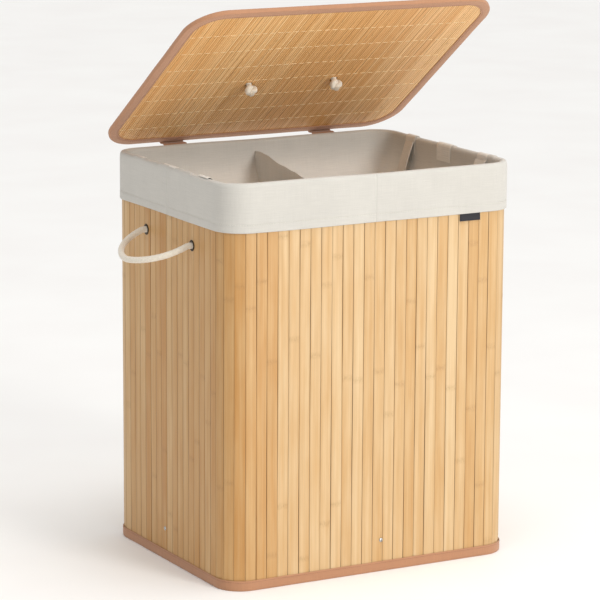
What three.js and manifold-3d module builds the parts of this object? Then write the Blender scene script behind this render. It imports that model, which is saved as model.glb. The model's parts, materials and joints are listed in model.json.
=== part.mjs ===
// Laundry hamper with lid: a folding bamboo hamper with a two-bag cloth liner.
// Millimetres, +Z up, X along the wide front, front face towards -Y.
// The origin is on the floor under the middle of the whole footprint, with the lid's hinge edge.
import * as THREE from 'three';
import { mergeVertices } from 'three/addons/utils/BufferGeometryUtils.js';
import Module from 'manifold-3d';

const wasm = await Module();
wasm.setup();

// ---------------------------------------------------------------- driving dimensions
const WIDTH = 480;              // bamboo body, outside
const DEPTH = 380;
const HEIGHT = 600;             // floor to the top of the cloth cuff
const CORNER = 40;              // outside radius of the upright corners
const ARC_STEPS = 5;            // half the facets in a quarter turn
const GAP = 0.3;                // between pieces that touch
const BODY_Y = -9.4;            // the body's middle: the lid's hinge edge stands out behind it

// slatted wall, worked from the outside face (offset 0) inwards
const SLAT = 17.76;             // width of one slat
const SLAT_THICK = 2;
const SLAT_GROOVE = 1.2;        // the V between two slats
const SLAT_GROOVE_DEPTH = 0.8;  // its depth, as a share of its width
const SLAT_EASE = 0.05;         // how far a slat's edges sit behind its middle
const FRONT_SLATS = 20;
const SIDE_SLATS = 15;
const CORNER_SLATS = 6;
const DRILL_DEPTH = 8;          // how far behind the slats the wall's holes reach
const WALL_BOTTOM = 1.6;
const WALL_TOP = 595.6;
const BACKING = [-3.2, -4.0];   // outer and inner face of the cloth glued behind the slats
const HOOP = [-4.3, -5.4];      // flat spring-steel hoop that keeps the mouth in shape
const HOOP_Z = [576, 591];

// bound edges
const BINDING_FOOT = { out: [1.5, GAP], inn: [-4.3, -5.5], z: [0, 15.5], floor: 1.2 };
const BINDING_RIM = { out: [1.2, GAP], inn: [-5.8, -6.7], z: [572, 597], roof: 1.1 };

// liner
const CUFF = { out: [3.0, 1.6], inn: [-7.1, -8.6], z: [528.5, HEIGHT], innerZ: 558.6, roof: 2.6 };
const LINER_CLOTH = 1.2;
const LINER_INSET = -21.5;      // the bag hangs clear of the rope knots
const LINER_FLOOR_Z = 63.6;
const BAG_FALL = [[505, LINER_INSET], [530, -15], [558.2, -8.7]];  // height, offset from the wall
const DIVIDER_CLOTH = 1.8;
const DIVIDER_END_Z = 582;      // height where the divider is sewn to the cuff
const DIVIDER_LOW_Z = 561;      // lowest point of its sagging edge
const EDGE_STEPS = 16;          // straight pieces in that edge
const STRAP = {                 // carrying straps inside the two short walls
  band: 28, thick: 1.6, front: -110, back: 100, drop: 112, round: 46, tilt: 16.5, x: 229.6, z: 592,
};
const HOOK_TAB = { half: 20, z: [574, 598] };
const TAG = { x: [143.5, 178.5], z: [517.5, 534], stand: 0.4, thick: 0.8 };

// base
const RAIL = { high: 18, thick: 14, z: 39, frontHalf: 185, sideHalf: 135 };
const BOARD = { z: 57.3, thick: 6, inset: -4.4 };
const SCREW = { z: 48, head: 3.2, dome: 1.6, shank: 1.5, hole: 1.8, length: 15, front: 15 };

// rope handles
const ROPE = 4.6;               // rope radius
const HANDLE_Z = 495;
const HANDLE_HALF = 75;         // half the distance between a handle's holes
const HANDLE_REACH = 68;
const HANDLE_DROOP = 22.7;      // degrees below level, as the stiff rope stands
const HANDLE_STAND = 7;         // swing line, out from the wall
const KNOT = 7.3;
const EYELET = { flange: 8.4, hole: 5.4, barrel: 6, thick: 0.9 };

// lid, drawn closed: local y runs from the hinge (0) to the front (-)
const LID = {
  half: 255.5, front: 402, back: 2, corner: 56, high: 7.2, edge: 15,
  hingeY: 206, hingeZ: 602.5, open: 35.2,
};
const LID_CLOTH = 0.9;          // thickness of the cloth bound round the lid's edge
const LID_MAT = 2.1;            // woven strips under the lid
const LID_HANDLE = { y: -173, half: 73, reach: 52, lift: 12 };
const LID_KNOT = { radius: 8.6, drop: 13 };
const LID_HOLE = 5.4;
const LID_GROOVE = { half: 0.8, deep: 1, over: 0.4 };
const LID_RING = { hole: 5, edge: 0.3 };
const HINGE_STRAP = { x: 130, half: 20, thick: 1.2, foot: 470, top: 597, bend: [512, 524] };
const HINGE_TAB = { front: -44, back: -1 };
const HOOK_PAD = { thick: 0.8, margin: 2, top: 508 };

const COLOR = {
  slat: 0xe6c89b, strip: 0xd0a062, backing: 0xb89a78, binding: 0xc28c6c, linen: 0xe2ded7,
  rope: 0xe1d7c8, metal: 0x8c8880, board: 0xb98f62, rail: 0xd9b27f, tag: 0x2b2b30, hook: 0xf0eee9,
};

function material(color, roughness = 0.75, metalness = 0) {
  return new THREE.MeshStandardMaterial({ color, roughness, metalness });
}

// ---------------------------------------------------------------- solids helpers
function merged(geometry) {
  const plain = geometry.index ? geometry.toNonIndexed() : geometry.clone();
  plain.deleteAttribute('normal');
  plain.deleteAttribute('uv');
  return mergeVertices(plain, 1e-4);
}

function solid(geometry) {
  const g = merged(geometry);
  return new wasm.Manifold(new wasm.Mesh({
    numProp: 3,
    vertProperties: new Float32Array(g.attributes.position.array),
    triVerts: new Uint32Array(g.index.array),
  }));
}

function geometryOf(manifold) {
  const mesh = manifold.getMesh();
  const g = new THREE.BufferGeometry();
  g.setAttribute('position', new THREE.BufferAttribute(mesh.vertProperties, 3));
  g.setIndex(new THREE.BufferAttribute(mesh.triVerts, 1));
  return g;
}

function cut(geometry, ...tools) {
  return geometryOf(tools.reduce((body, tool) => body.subtract(solid(tool)), solid(geometry)));
}

function join(geometry, ...others) {
  return geometryOf(others.reduce((body, other) => body.add(solid(other)), solid(geometry)));
}

function add(parent, name, geometry, look) {
  const mesh = new THREE.Mesh(geometry, look);
  mesh.name = name;
  parent.add(mesh);
  return mesh;
}

// Upright prism of a flat shape, from z0 to z1.
function prism(shape, z0, z1) {
  const g = new THREE.ExtrudeGeometry(shape, {
    depth: z1 - z0, bevelEnabled: false, curveSegments: ARC_STEPS,
  });
  return g.translate(0, 0, z0);
}

function box(x0, x1, y0, y1, z0, z1) {
  return new THREE.BoxGeometry(x1 - x0, y1 - y0, z1 - z0)
    .translate((x0 + x1) / 2, (y0 + y1) / 2, (z0 + z1) / 2);
}

// A flat shape drawn in (y, z), given its thickness along +x from x = 0.
function sheet(shape, thick, curveSegments = 4) {
  const g = new THREE.ExtrudeGeometry(shape, { depth: thick, bevelEnabled: false, curveSegments });
  const upright = new THREE.Matrix4().makeBasis(
    new THREE.Vector3(0, 1, 0), new THREE.Vector3(0, 0, 1), new THREE.Vector3(1, 0, 0),
  );
  return g.applyMatrix4(upright);
}

// A solid lathed round the line through (x, y, z) that points along `along`.
function lathe(profile, along, at, steps = 14) {
  const points = profile.map(([radius, height]) => new THREE.Vector2(radius, height));
  const g = new THREE.LatheGeometry(points, steps);
  const turn = new THREE.Quaternion()
    .setFromUnitVectors(new THREE.Vector3(0, 1, 0), new THREE.Vector3(...along).normalize());
  return g.applyQuaternion(turn).translate(...at);
}

// ---------------------------------------------------------------- body outline
// Rounded rectangle; `offset` grows it outwards and keeps the corner centres.
function outline(path, halfX, halfY, radius, clockwise = false, cy = 0) {
  const corners = [[1, -1, -90], [1, 1, 0], [-1, 1, 90], [-1, -1, 180]];
  const order = clockwise ? corners.reverse() : corners;
  for (const [sx, sy, start] of order) {
    const a = THREE.MathUtils.degToRad(start);
    const [from, to] = clockwise ? [a + Math.PI / 2, a] : [a, a + Math.PI / 2];
    path.absarc(sx * (halfX - radius), cy + sy * (halfY - radius), radius, from, to, clockwise);
  }
  return path;
}

function plan(offset) {
  return outline(new THREE.Shape(), WIDTH / 2 + offset, DEPTH / 2 + offset, CORNER + offset);
}

function planHole(offset) {
  return outline(new THREE.Path(), WIDTH / 2 + offset, DEPTH / 2 + offset, CORNER + offset, true);
}

function ring([outer, inner], z0, z1) {
  const shape = plan(outer);
  shape.holes.push(planHole(inner));
  return prism(shape, z0, z1);
}

// Point and outward direction at distance s round the body, from the middle of the front.
const QUARTER = Math.PI / 2 * CORNER;
const FLAT_X = WIDTH - 2 * CORNER;
const FLAT_Y = DEPTH - 2 * CORNER;
const PERIMETER = 2 * (FLAT_X + FLAT_Y) + 4 * QUARTER;

function around(s) {
  let left = THREE.MathUtils.euclideanModulo(s + FLAT_X / 2, PERIMETER);
  let turn = 0;
  let start = new THREE.Vector2(-FLAT_X / 2, -DEPTH / 2);
  for (const flat of [FLAT_X, FLAT_Y, FLAT_X, FLAT_Y]) {
    const ahead = new THREE.Vector2(Math.cos(turn), Math.sin(turn));
    const out = new THREE.Vector2(ahead.y, -ahead.x);
    if (left <= flat) {
      return { at: start.clone().addScaledVector(ahead, left), out, ahead };
    }
    left -= flat;
    const centre = start.clone().addScaledVector(ahead, flat).addScaledVector(out, -CORNER);
    const swing = Math.min(left / CORNER, Math.PI / 2);
    const along = out.clone().rotateAround(new THREE.Vector2(), swing);
    if (left <= QUARTER) {
      const forward = new THREE.Vector2(-along.y, along.x);
      return { at: centre.clone().addScaledVector(along, CORNER), out: along, ahead: forward };
    }
    left -= QUARTER;
    start = centre.clone().addScaledVector(along, CORNER);
    turn += Math.PI / 2;
  }
  throw new Error('past the end of the outline');
}

// One slatted panel between two places on the outline: flat slats, a V groove between them,
// and a web behind that joins them.
function slatPanel(from, to, count) {
  const outside = [];
  const inside = [];
  for (let i = 0; i <= count; i += 1) {
    const first = i === 0;
    const last = i === count;
    const end = first || last;
    const place = around(from + (to - from) * i / count);
    const side = (along, depth) => place.at.clone()
      .addScaledVector(place.ahead, along).addScaledVector(place.out, -depth);
    const step = first ? GAP / 2 : -GAP / 2;
    const lean = end ? step : 0;
    if (!first) outside.push(side(-SLAT_GROOVE / 2, SLAT_EASE));
    outside.push(side(lean, SLAT_GROOVE * SLAT_GROOVE_DEPTH));
    if (!last) outside.push(side(SLAT_GROOVE / 2, SLAT_EASE));
    inside.push(side(lean, SLAT_THICK));
  }
  return prism(new THREE.Shape([...outside, ...inside.reverse()]), WALL_BOTTOM, WALL_TOP);
}

// ---------------------------------------------------------------- bamboo wall
// Places round the outline where the flat panels give way to the corner panels.
const FRONT_HALF = SLAT * FRONT_SLATS / 2;
const SIDE_HALF = SLAT * SIDE_SLATS / 2;
const SIDE_MIDDLE = FLAT_X / 2 + QUARTER + FLAT_Y / 2;
const BACK_MIDDLE = PERIMETER / 2;

function screwPlaces() {
  const { front, z } = SCREW;
  return {
    front: { at: [front, -DEPTH / 2, z], out: [0, -1, 0] },
    back: { at: [-front, DEPTH / 2, z], out: [0, 1, 0] },
    left: { at: [-WIDTH / 2, front, z], out: [-1, 0, 0] },
    right: { at: [WIDTH / 2, -front, z], out: [1, 0, 0] },
  };
}

function eyeletPlaces() {
  const places = {};
  for (const [side, sx] of [['left', -1], ['right', 1]]) {
    for (const [end, sy] of [['front', -1], ['back', 1]]) {
      places[`${side}_${end}`] = {
        at: [sx * WIDTH / 2, sy * HANDLE_HALF, HANDLE_Z],
        out: [sx, 0, 0],
      };
    }
  }
  return places;
}

// A round tool through the wall at a place, from outside the slats to `depth` behind them.
function drill({ at, out }, radius, depth) {
  return lathe([[0, -depth], [radius, -depth], [radius, 4], [0, 4]], out, at, 12);
}

function wallHoles(depth) {
  const screws = Object.values(screwPlaces()).map((p) => drill(p, SCREW.hole, depth));
  const ropes = Object.values(eyeletPlaces()).map((p) => drill(p, EYELET.barrel + GAP, depth));
  return [...screws, ...ropes];
}

function addWall(hamper) {
  const look = material(COLOR.slat, 0.55);
  const holes = wallHoles(DRILL_DEPTH);
  const leftMiddle = PERIMETER - SIDE_MIDDLE;
  const flats = {
    front_slats: [-FRONT_HALF, FRONT_HALF, FRONT_SLATS],
    right_slats: [SIDE_MIDDLE - SIDE_HALF, SIDE_MIDDLE + SIDE_HALF, SIDE_SLATS],
    back_slats: [BACK_MIDDLE - FRONT_HALF, BACK_MIDDLE + FRONT_HALF, FRONT_SLATS],
    left_slats: [leftMiddle - SIDE_HALF, leftMiddle + SIDE_HALF, SIDE_SLATS],
  };
  for (const [name, [from, to, count]] of Object.entries(flats)) {
    add(hamper, name, cut(slatPanel(from, to, count), ...holes), look);
  }
  const corners = {
    corner_slats_front_right: [FRONT_HALF, SIDE_MIDDLE - SIDE_HALF],
    corner_slats_back_right: [SIDE_MIDDLE + SIDE_HALF, BACK_MIDDLE - FRONT_HALF],
    corner_slats_back_left: [BACK_MIDDLE + FRONT_HALF, leftMiddle - SIDE_HALF],
    corner_slats_front_left: [leftMiddle + SIDE_HALF, PERIMETER - FRONT_HALF],
  };
  for (const [name, [from, to]] of Object.entries(corners)) {
    add(hamper, name, slatPanel(from, to, CORNER_SLATS), look);
  }
  const cloth = material(COLOR.backing, 0.95);
  add(hamper, 'mat_backing', cut(ring(BACKING, WALL_BOTTOM, WALL_TOP), ...holes), cloth);
  add(hamper, 'rim_hoop', ring(HOOP, ...HOOP_Z), material(COLOR.metal, 0.4, 0.9));
}

// Cloth folded over the lower and the upper edge of the wall.
function addBindings(hamper) {
  const look = material(COLOR.binding, 0.7);
  const foot = BINDING_FOOT;
  const footBlock = ring([foot.out[0], foot.inn[1]], ...foot.z);
  const footSlot = ring([foot.out[1], foot.inn[0]], foot.floor, foot.z[1] + 1);
  add(hamper, 'foot_binding', cut(footBlock, footSlot), look);
  const rim = BINDING_RIM;
  const rimBlock = ring([rim.out[0], rim.inn[1]], ...rim.z);
  const rimSlot = ring([rim.out[1], rim.inn[0]], rim.z[0] - 1, rim.z[1] - rim.roof);
  add(hamper, 'rim_binding', cut(rimBlock, rimSlot), look);
}

// ---------------------------------------------------------------- base
function addBase(hamper) {
  const { high, thick, z, frontHalf, sideHalf } = RAIL;
  const wall = -HOOP[0];
  const outX = WIDTH / 2 - wall;
  const outY = DEPTH / 2 - wall;
  const rails = {
    base_rail_front: box(-frontHalf, frontHalf, -outY, -outY + thick, z, z + high),
    base_rail_back: box(-frontHalf, frontHalf, outY - thick, outY, z, z + high),
    base_rail_left: box(-outX, -outX + thick, -sideHalf, sideHalf, z, z + high),
    base_rail_right: box(outX - thick, outX, -sideHalf, sideHalf, z, z + high),
  };
  const look = material(COLOR.rail, 0.8);
  const places = screwPlaces();
  for (const [name, rail] of Object.entries(rails)) {
    const side = name.split('_').pop();
    add(hamper, name, cut(rail, drill(places[side], SCREW.hole, SCREW.length)), look);
  }
  const top = BOARD.z + BOARD.thick;
  add(hamper, 'base_board', prism(plan(BOARD.inset), BOARD.z, top), material(COLOR.board, 0.85));
  addScrews(hamper, places);
}

// Dome-headed screws through the wall into the middle of each rail.
function addScrews(hamper, places) {
  const look = material(COLOR.metal, 0.35, 0.9);
  const { head, dome, shank, length } = SCREW;
  const crown = [0, 45, 90].map((deg) => {
    const a = THREE.MathUtils.degToRad(deg);
    return [head * Math.cos(a), GAP + dome * Math.sin(a)];
  });
  crown[crown.length - 1][0] = 0;
  const profile = [[0, GAP - length], [shank, GAP - length], [shank, GAP], ...crown];
  for (const [side, { at, out }] of Object.entries(places)) {
    add(hamper, `screw_${side}`, lathe(profile, out, at, 10), look);
  }
}

// ---------------------------------------------------------------- liner
// Offset of the bag's outer face at a height: sewn to the cuff, then falling clear of the wall.
const BAG_PROFILE = [[LINER_FLOOR_Z, LINER_INSET], ...BAG_FALL];

function bagOffset(z) {
  const upper = BAG_PROFILE.findIndex(([height]) => height >= z);
  if (upper <= 0) return upper === 0 ? LINER_INSET : BAG_PROFILE[BAG_PROFILE.length - 1][1];
  const [z0, o0] = BAG_PROFILE[upper - 1];
  const [z1, o1] = BAG_PROFILE[upper];
  return o0 + (o1 - o0) * (z - z0) / (z1 - z0);
}

// Skin through stacked outlines, up the outer face and down the inner face.
function bagWall() {
  const inner = BAG_PROFILE.map(([z, offset]) => [z, offset - LINER_CLOTH]).reverse();
  const loops = [...BAG_PROFILE, ...inner].map(([z, offset]) => (
    plan(offset).getPoints(ARC_STEPS).map((p) => [p.x, p.y, z])
  ));
  const count = loops[0].length;
  const position = loops.flat(2);
  const index = [];
  for (let i = 0; i < loops.length; i += 1) {
    const next = (i + 1) % loops.length;
    for (let j = 0; j < count; j += 1) {
      const k = (j + 1) % count;
      const [a, b, c, d] = [i * count + j, i * count + k, next * count + k, next * count + j];
      index.push(a, b, c, a, c, d);
    }
  }
  const g = new THREE.BufferGeometry();
  g.setAttribute('position', new THREE.Float32BufferAttribute(position, 3));
  g.setIndex(index);
  return g;
}

function addLiner(hamper) {
  const look = material(COLOR.linen, 0.9);
  const { out, inn, z, innerZ, roof } = CUFF;
  const block = ring([out[0], inn[1]], ...z);
  const slot = ring([out[1], inn[0]], z[0] - 1, z[1] - roof);
  const shorter = prism(plan(inn[0] + GAP), z[0] - 1, innerZ);
  add(hamper, 'liner_cuff', cut(block, slot, shorter), look);
  add(hamper, 'liner_bag', bagWall(), look);
  const floor = prism(plan(LINER_INSET - LINER_CLOTH - GAP), LINER_FLOOR_Z, LINER_FLOOR_Z + LINER_CLOTH);
  add(hamper, 'liner_floor', floor, look);
  add(hamper, 'liner_divider', divider(), look);
}

// Cloth wall across the middle, sewn to the bag at both ends, with a sagging hemmed top edge.
function divider() {
  const reach = (z) => DEPTH / 2 + (z > CUFF.innerZ ? CUFF.inn[1] : bagOffset(z) - LINER_CLOTH) - GAP;
  const foot = LINER_FLOOR_Z + LINER_CLOTH + GAP;
  const heights = [foot, ...BAG_FALL.map(([z]) => Math.floor(z)), DIVIDER_END_Z];
  const ends = heights.map((z) => [reach(z), z]);
  const top = reach(DIVIDER_END_Z);
  const sag = (y) => DIVIDER_LOW_Z
    + (DIVIDER_END_Z - DIVIDER_LOW_Z) * (1 - Math.cos(Math.PI * y / top)) / 2;
  const edge = [];
  for (let i = 1; i < EDGE_STEPS; i += 1) {
    const y = top * (1 - 2 * i / EDGE_STEPS);
    edge.push([y, sag(y)]);
  }
  const mirror = ends.map(([y, z]) => [-y, z]).reverse();
  const shape = new THREE.Shape([...ends, ...edge, ...mirror].map(([y, z]) => new THREE.Vector2(y, z)));
  return sheet(shape, DIVIDER_CLOTH).translate(-DIVIDER_CLOTH / 2, 0, 0);
}

// A cloth band that hangs in a loop from two places on the cuff.
function carryStrap() {
  const { band, thick, front, back, drop, round } = STRAP;
  const half = (back - front) / 2 + band / 2;
  const shape = new THREE.Shape();
  shape.moveTo(-half, 0).lineTo(-half, -drop + round);
  shape.absarc(-half + round, -drop + round, round, Math.PI, 1.5 * Math.PI);
  shape.absarc(half - round, -drop + round, round, 1.5 * Math.PI, 2 * Math.PI);
  shape.lineTo(half, 0).lineTo(half - band, 0);
  const small = round - band;
  shape.lineTo(half - band, -drop + round);
  shape.absarc(half - round, -drop + round, small, 2 * Math.PI, 1.5 * Math.PI, true);
  shape.absarc(-half + round, -drop + round, small, 1.5 * Math.PI, Math.PI, true);
  shape.lineTo(-half + band, 0);
  return sheet(shape, thick).translate(-thick / 2, (front + back) / 2, 0);
}

function addLinerTrim(hamper) {
  const linen = material(COLOR.linen, 0.9);
  const hook = material(COLOR.hook, 0.8);
  for (const [side, sx] of [['left', -1], ['right', 1]]) {
    const swing = new THREE.Group();
    swing.position.set(sx * STRAP.x, 0, STRAP.z);
    swing.rotation.y = sx * THREE.MathUtils.degToRad(STRAP.tilt);
    add(swing, `liner_strap_${side}`, carryStrap(), linen);
    hamper.add(swing);
    const x = WIDTH / 2 + CUFF.inn[1] - GAP;
    const tab = box(x - LINER_CLOTH, x, -HOOK_TAB.half, HOOK_TAB.half, ...HOOK_TAB.z);
    if (sx < 0) tab.rotateZ(Math.PI);
    add(hamper, `hook_tab_${side}`, tab, hook);
  }
  const face = -DEPTH / 2 - TAG.stand;
  const tag = box(...TAG.x, face - TAG.thick, face, ...TAG.z);
  add(hamper, 'blank_tag', tag, material(COLOR.tag, 0.8));
}

// ---------------------------------------------------------------- eyelets, knots and ropes
// Rolled metal ring: a flange on each face and a barrel through the hole.
function eyelet(at, out, wall) {
  const { flange, hole, barrel, thick } = EYELET;
  const face = GAP;
  const inner = -wall - GAP;
  const profile = [
    [hole, face + thick], [flange - 1, face + thick], [flange, face + 0.3], [flange, face],
    [barrel, face], [barrel, inner], [flange - 1, inner], [flange - 1, inner - thick],
    [hole, inner - thick], [hole, face + thick],
  ];
  return lathe(profile.reverse(), out, at, 16);
}

// Rope end that passes through a hole and swells into the knot behind it.
function knot(at, out, radius, depth, tip) {
  const stub = [[0, -depth], [ROPE - 0.2, -depth], [ROPE - 0.2, tip], [0, tip]];
  const ball = new THREE.SphereGeometry(radius, 12, 8);
  const centre = new THREE.Vector3(...out).multiplyScalar(-depth).add(new THREE.Vector3(...at));
  ball.translate(centre.x, centre.y, centre.z);
  return join(ball, lathe(stub, out, at, 10));
}

// Rope loop in the plane of `reach` and `across`, with a round end at each hole.
class HandleCurve extends THREE.Curve {
  constructor(half, reach) {
    super();
    this.half = half;
    this.reach = reach;
  }

  getPoint(t, target = new THREE.Vector3()) {
    const a = Math.PI * t;
    const across = this.half * Math.sign(Math.cos(a)) * Math.abs(Math.cos(a)) ** 1.25;
    return target.set(this.reach * Math.sin(a) ** 0.85, across, 0);
  }
}

// The loop leaves its holes along local +x and lies in local z = 0.
function ropeLoop(half, reach) {
  const curve = new HandleCurve(half, reach);
  const points = curve.getSpacedPoints(24);
  const section = new THREE.Shape();
  section.absarc(0, 0, ROPE, 0, 2 * Math.PI);
  const route = new THREE.CatmullRomCurve3(points, false, 'centripetal');
  const tube = new THREE.ExtrudeGeometry(section, {
    steps: 26, curveSegments: 4, extrudePath: route, bevelEnabled: false,
  });
  const ends = [-1, 1].map((side) => new THREE.SphereGeometry(ROPE + 0.05, 10, 6)
    .translate(0, side * half, 0));
  return join(tube, ...ends);
}

function addSideHandles(hamper) {
  const rope = material(COLOR.rope, 0.95);
  const metal = material(COLOR.metal, 0.35, 0.9);
  const wall = -BACKING[1];
  for (const [place, { at, out }] of Object.entries(eyeletPlaces())) {
    add(hamper, `eyelet_${place}`, eyelet(at, out, wall), metal);
    const depth = wall + GAP * 2 + EYELET.thick + KNOT;
    add(hamper, `rope_knot_${place}`, knot(at, out, KNOT, depth, HANDLE_STAND - ROPE - GAP), rope);
  }
  for (const [side, sx] of [['left', -1], ['right', 1]]) {
    const swing = new THREE.Group();
    swing.position.set(sx * (WIDTH / 2 + HANDLE_STAND), 0, HANDLE_Z);
    swing.rotation.z = sx < 0 ? Math.PI : 0;
    const droop = new THREE.Group();
    droop.rotation.y = THREE.MathUtils.degToRad(HANDLE_DROOP);
    add(droop, `rope_handle_${side}`, ropeLoop(HANDLE_HALF, HANDLE_REACH), rope);
    swing.add(droop);
    hamper.add(swing);
  }
}

// ---------------------------------------------------------------- lid
function lidPlan(inset, path = new THREE.Shape(), clockwise = false) {
  const halfY = (LID.front + LID.back) / 2 - inset;
  const middle = (LID.back - LID.front) / 2;
  return outline(path, LID.half - inset, halfY, LID.corner - inset, clockwise, middle);
}

function lidHoles() {
  const { y, half } = LID_HANDLE;
  return [-1, 1].map((side) => new THREE.CylinderGeometry(LID_HOLE, LID_HOLE, 4 * LID.high, 12)
    .rotateX(Math.PI / 2).translate(side * half, y, 0));
}

function addLid(lid) {
  const inner = LID_CLOTH + GAP;
  const matTop = inner + LID_MAT;
  const slatTop = LID.high - inner;
  const holes = lidHoles();
  const strips = cut(prism(lidPlan(inner), inner, matTop), ...holes);
  add(lid, 'lid_strip_mat', strips, material(COLOR.strip, 0.55));
  const slats = cut(prism(lidPlan(inner), matTop + GAP, slatTop), ...lidGrooves(slatTop), ...holes);
  add(lid, 'lid_slats', slats, material(COLOR.slat, 0.55));
  const block = prism(lidPlan(0), 0, LID.high);
  const pocket = prism(lidPlan(LID_CLOTH), LID_CLOTH, LID.high - LID_CLOTH);
  const window = prism(lidPlan(LID.edge), -1, LID.high + 1);
  add(lid, 'lid_binding', cut(block, pocket, window), material(COLOR.binding, 0.7));
}

// V grooves between the lid's slats, from the hinge to the front.
function lidGrooves(top) {
  const grooves = [];
  const { half, deep, over } = LID_GROOVE;
  const margin = 10;
  const length = LID.front + 2 * margin;
  const each = Math.floor(LID.half / SLAT);
  for (let i = -each; i < each; i += 1) {
    const x = SLAT * (i + 0.5);
    const vee = new THREE.Shape([
      new THREE.Vector2(x, top - deep), new THREE.Vector2(x + half, top + over),
      new THREE.Vector2(x - half, top + over),
    ]);
    const g = new THREE.ExtrudeGeometry(vee, { depth: length, bevelEnabled: false });
    grooves.push(g.rotateX(Math.PI / 2).translate(0, margin, 0));
  }
  return grooves;
}

function addLidHandle(lid) {
  const rope = material(COLOR.rope, 0.95);
  const metal = material(COLOR.metal, 0.35, 0.9);
  const { y, half, reach, lift } = LID_HANDLE;
  const top = LID.high - LID_CLOTH - GAP;
  const stand = top + HANDLE_STAND;
  const { flange, thick } = EYELET;
  const { hole, edge } = LID_RING;
  const ringProfile = [
    [hole, 0], [flange, 0], [flange, edge], [flange - 1, thick], [hole, thick], [hole, 0],
  ];
  for (const [side, sx] of [['left', -1], ['right', 1]]) {
    const at = [sx * half, y, top];
    const ringAt = [sx * half, y, top + GAP];
    add(lid, `lid_eyelet_${side}`, lathe(ringProfile, [0, 0, 1], ringAt, 16), metal);
    const depth = top + LID_KNOT.drop;
    const tip = HANDLE_STAND - ROPE - GAP;
    add(lid, `lid_knot_${side}`, knot(at, [0, 0, 1], LID_KNOT.radius, depth, tip), rope);
  }
  const swing = new THREE.Group();
  swing.position.set(0, y, stand);
  swing.rotation.set(THREE.MathUtils.degToRad(lift), 0, 0);
  const loop = ropeLoop(half, reach).rotateZ(Math.PI / 2);
  add(swing, 'lid_rope_handle', loop, rope);
  lid.add(swing);
}

// Cloth hinge straps: hook pad on the back wall, strap up over the cuff, tab on the lid.
function addHinge(hamper, lid) {
  const look = material(COLOR.binding, 0.8);
  const hook = material(COLOR.tag, 0.8);
  const { x, half, thick, foot, top, bend } = HINGE_STRAP;
  const { margin } = HOOK_PAD;
  const back = DEPTH / 2 + GAP;
  const low = back + HOOK_PAD.thick + GAP;
  const high = DEPTH / 2 + CUFF.out[0] + GAP;
  const side = [[low, foot], [low + thick, foot], [low + thick, bend[0]], [high + thick, bend[1]]];
  side.push([high + thick, top], [high, top], [high, bend[1] + 0.5], [low, bend[0] + 0.5]);
  const tabZ = LID.high + GAP;
  for (const [name, sx] of [['left', -1], ['right', 1]]) {
    const shape = new THREE.Shape(side.map(([y, z]) => new THREE.Vector2(y, z)));
    const [x0, x1] = [sx * x - half, sx * x + half];
    add(hamper, `hinge_strap_${name}`, sheet(shape, 2 * half).translate(x0, 0, 0), look);
    const padY = [back, back + HOOK_PAD.thick];
    const pad = box(x0 + margin, x1 - margin, ...padY, foot + margin, HOOK_PAD.top);
    add(hamper, `hook_pad_${name}`, pad, hook);
    const tab = box(x0, x1, HINGE_TAB.front, HINGE_TAB.back, tabZ, tabZ + thick);
    add(lid, `lid_hinge_tab_${name}`, tab, look);
  }
}

// ---------------------------------------------------------------- assembly
const hamper = new THREE.Group();
addWall(hamper);
addBindings(hamper);
addBase(hamper);
addLiner(hamper);
addLinerTrim(hamper);
addSideHandles(hamper);

const lid = new THREE.Group();
lid.position.set(0, LID.hingeY, LID.hingeZ);
lid.rotation.x = -THREE.MathUtils.degToRad(LID.open);
addLid(lid);
addLidHandle(lid);
addHinge(hamper, lid);
hamper.add(lid);
hamper.position.y = BODY_Y;

const model = new THREE.Group();
model.add(hamper);

export default model;
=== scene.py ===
import json
import math

import bmesh
import bpy
import numpy as np
from mathutils import Matrix, Vector


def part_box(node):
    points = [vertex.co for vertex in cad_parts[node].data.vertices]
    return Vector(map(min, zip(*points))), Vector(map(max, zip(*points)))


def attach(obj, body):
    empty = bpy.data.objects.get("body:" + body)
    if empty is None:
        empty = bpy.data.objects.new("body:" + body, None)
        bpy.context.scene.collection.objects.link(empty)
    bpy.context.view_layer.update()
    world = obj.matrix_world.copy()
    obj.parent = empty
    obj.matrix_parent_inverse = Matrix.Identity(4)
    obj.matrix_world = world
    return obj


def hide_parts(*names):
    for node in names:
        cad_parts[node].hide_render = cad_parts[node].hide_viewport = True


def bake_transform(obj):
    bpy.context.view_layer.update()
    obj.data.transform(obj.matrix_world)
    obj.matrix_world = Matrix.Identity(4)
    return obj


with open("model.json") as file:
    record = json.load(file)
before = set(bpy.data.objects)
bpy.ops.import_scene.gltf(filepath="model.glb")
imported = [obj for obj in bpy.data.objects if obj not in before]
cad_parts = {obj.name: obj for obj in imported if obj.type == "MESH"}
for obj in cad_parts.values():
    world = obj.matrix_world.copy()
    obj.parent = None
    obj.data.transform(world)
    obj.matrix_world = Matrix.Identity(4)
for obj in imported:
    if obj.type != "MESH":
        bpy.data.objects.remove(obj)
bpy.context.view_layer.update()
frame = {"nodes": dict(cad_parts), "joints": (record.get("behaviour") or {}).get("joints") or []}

MM = 0.001


# ---------------------------------------------------------------- sizes, from the frame
def node_box(node):
    low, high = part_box(node)
    return np.array(low) / MM, np.array(high) / MM


SIDES = (("left", -1), ("right", 1))
ENDS = (("front", -1), ("back", 1))
SHARP = 40                      # edges that turn by more degrees than this stay crisp
FOOT_PROUD = 1.5                # how far the foot binding stands out from the wall
SLAT = 17.76                    # pitch of the wall's slats
CORNER = 40.0                   # radius of the body's upright corners
FRONT_SLATS, SIDE_SLATS, CORNER_SLATS = 20, 15, 6

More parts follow.
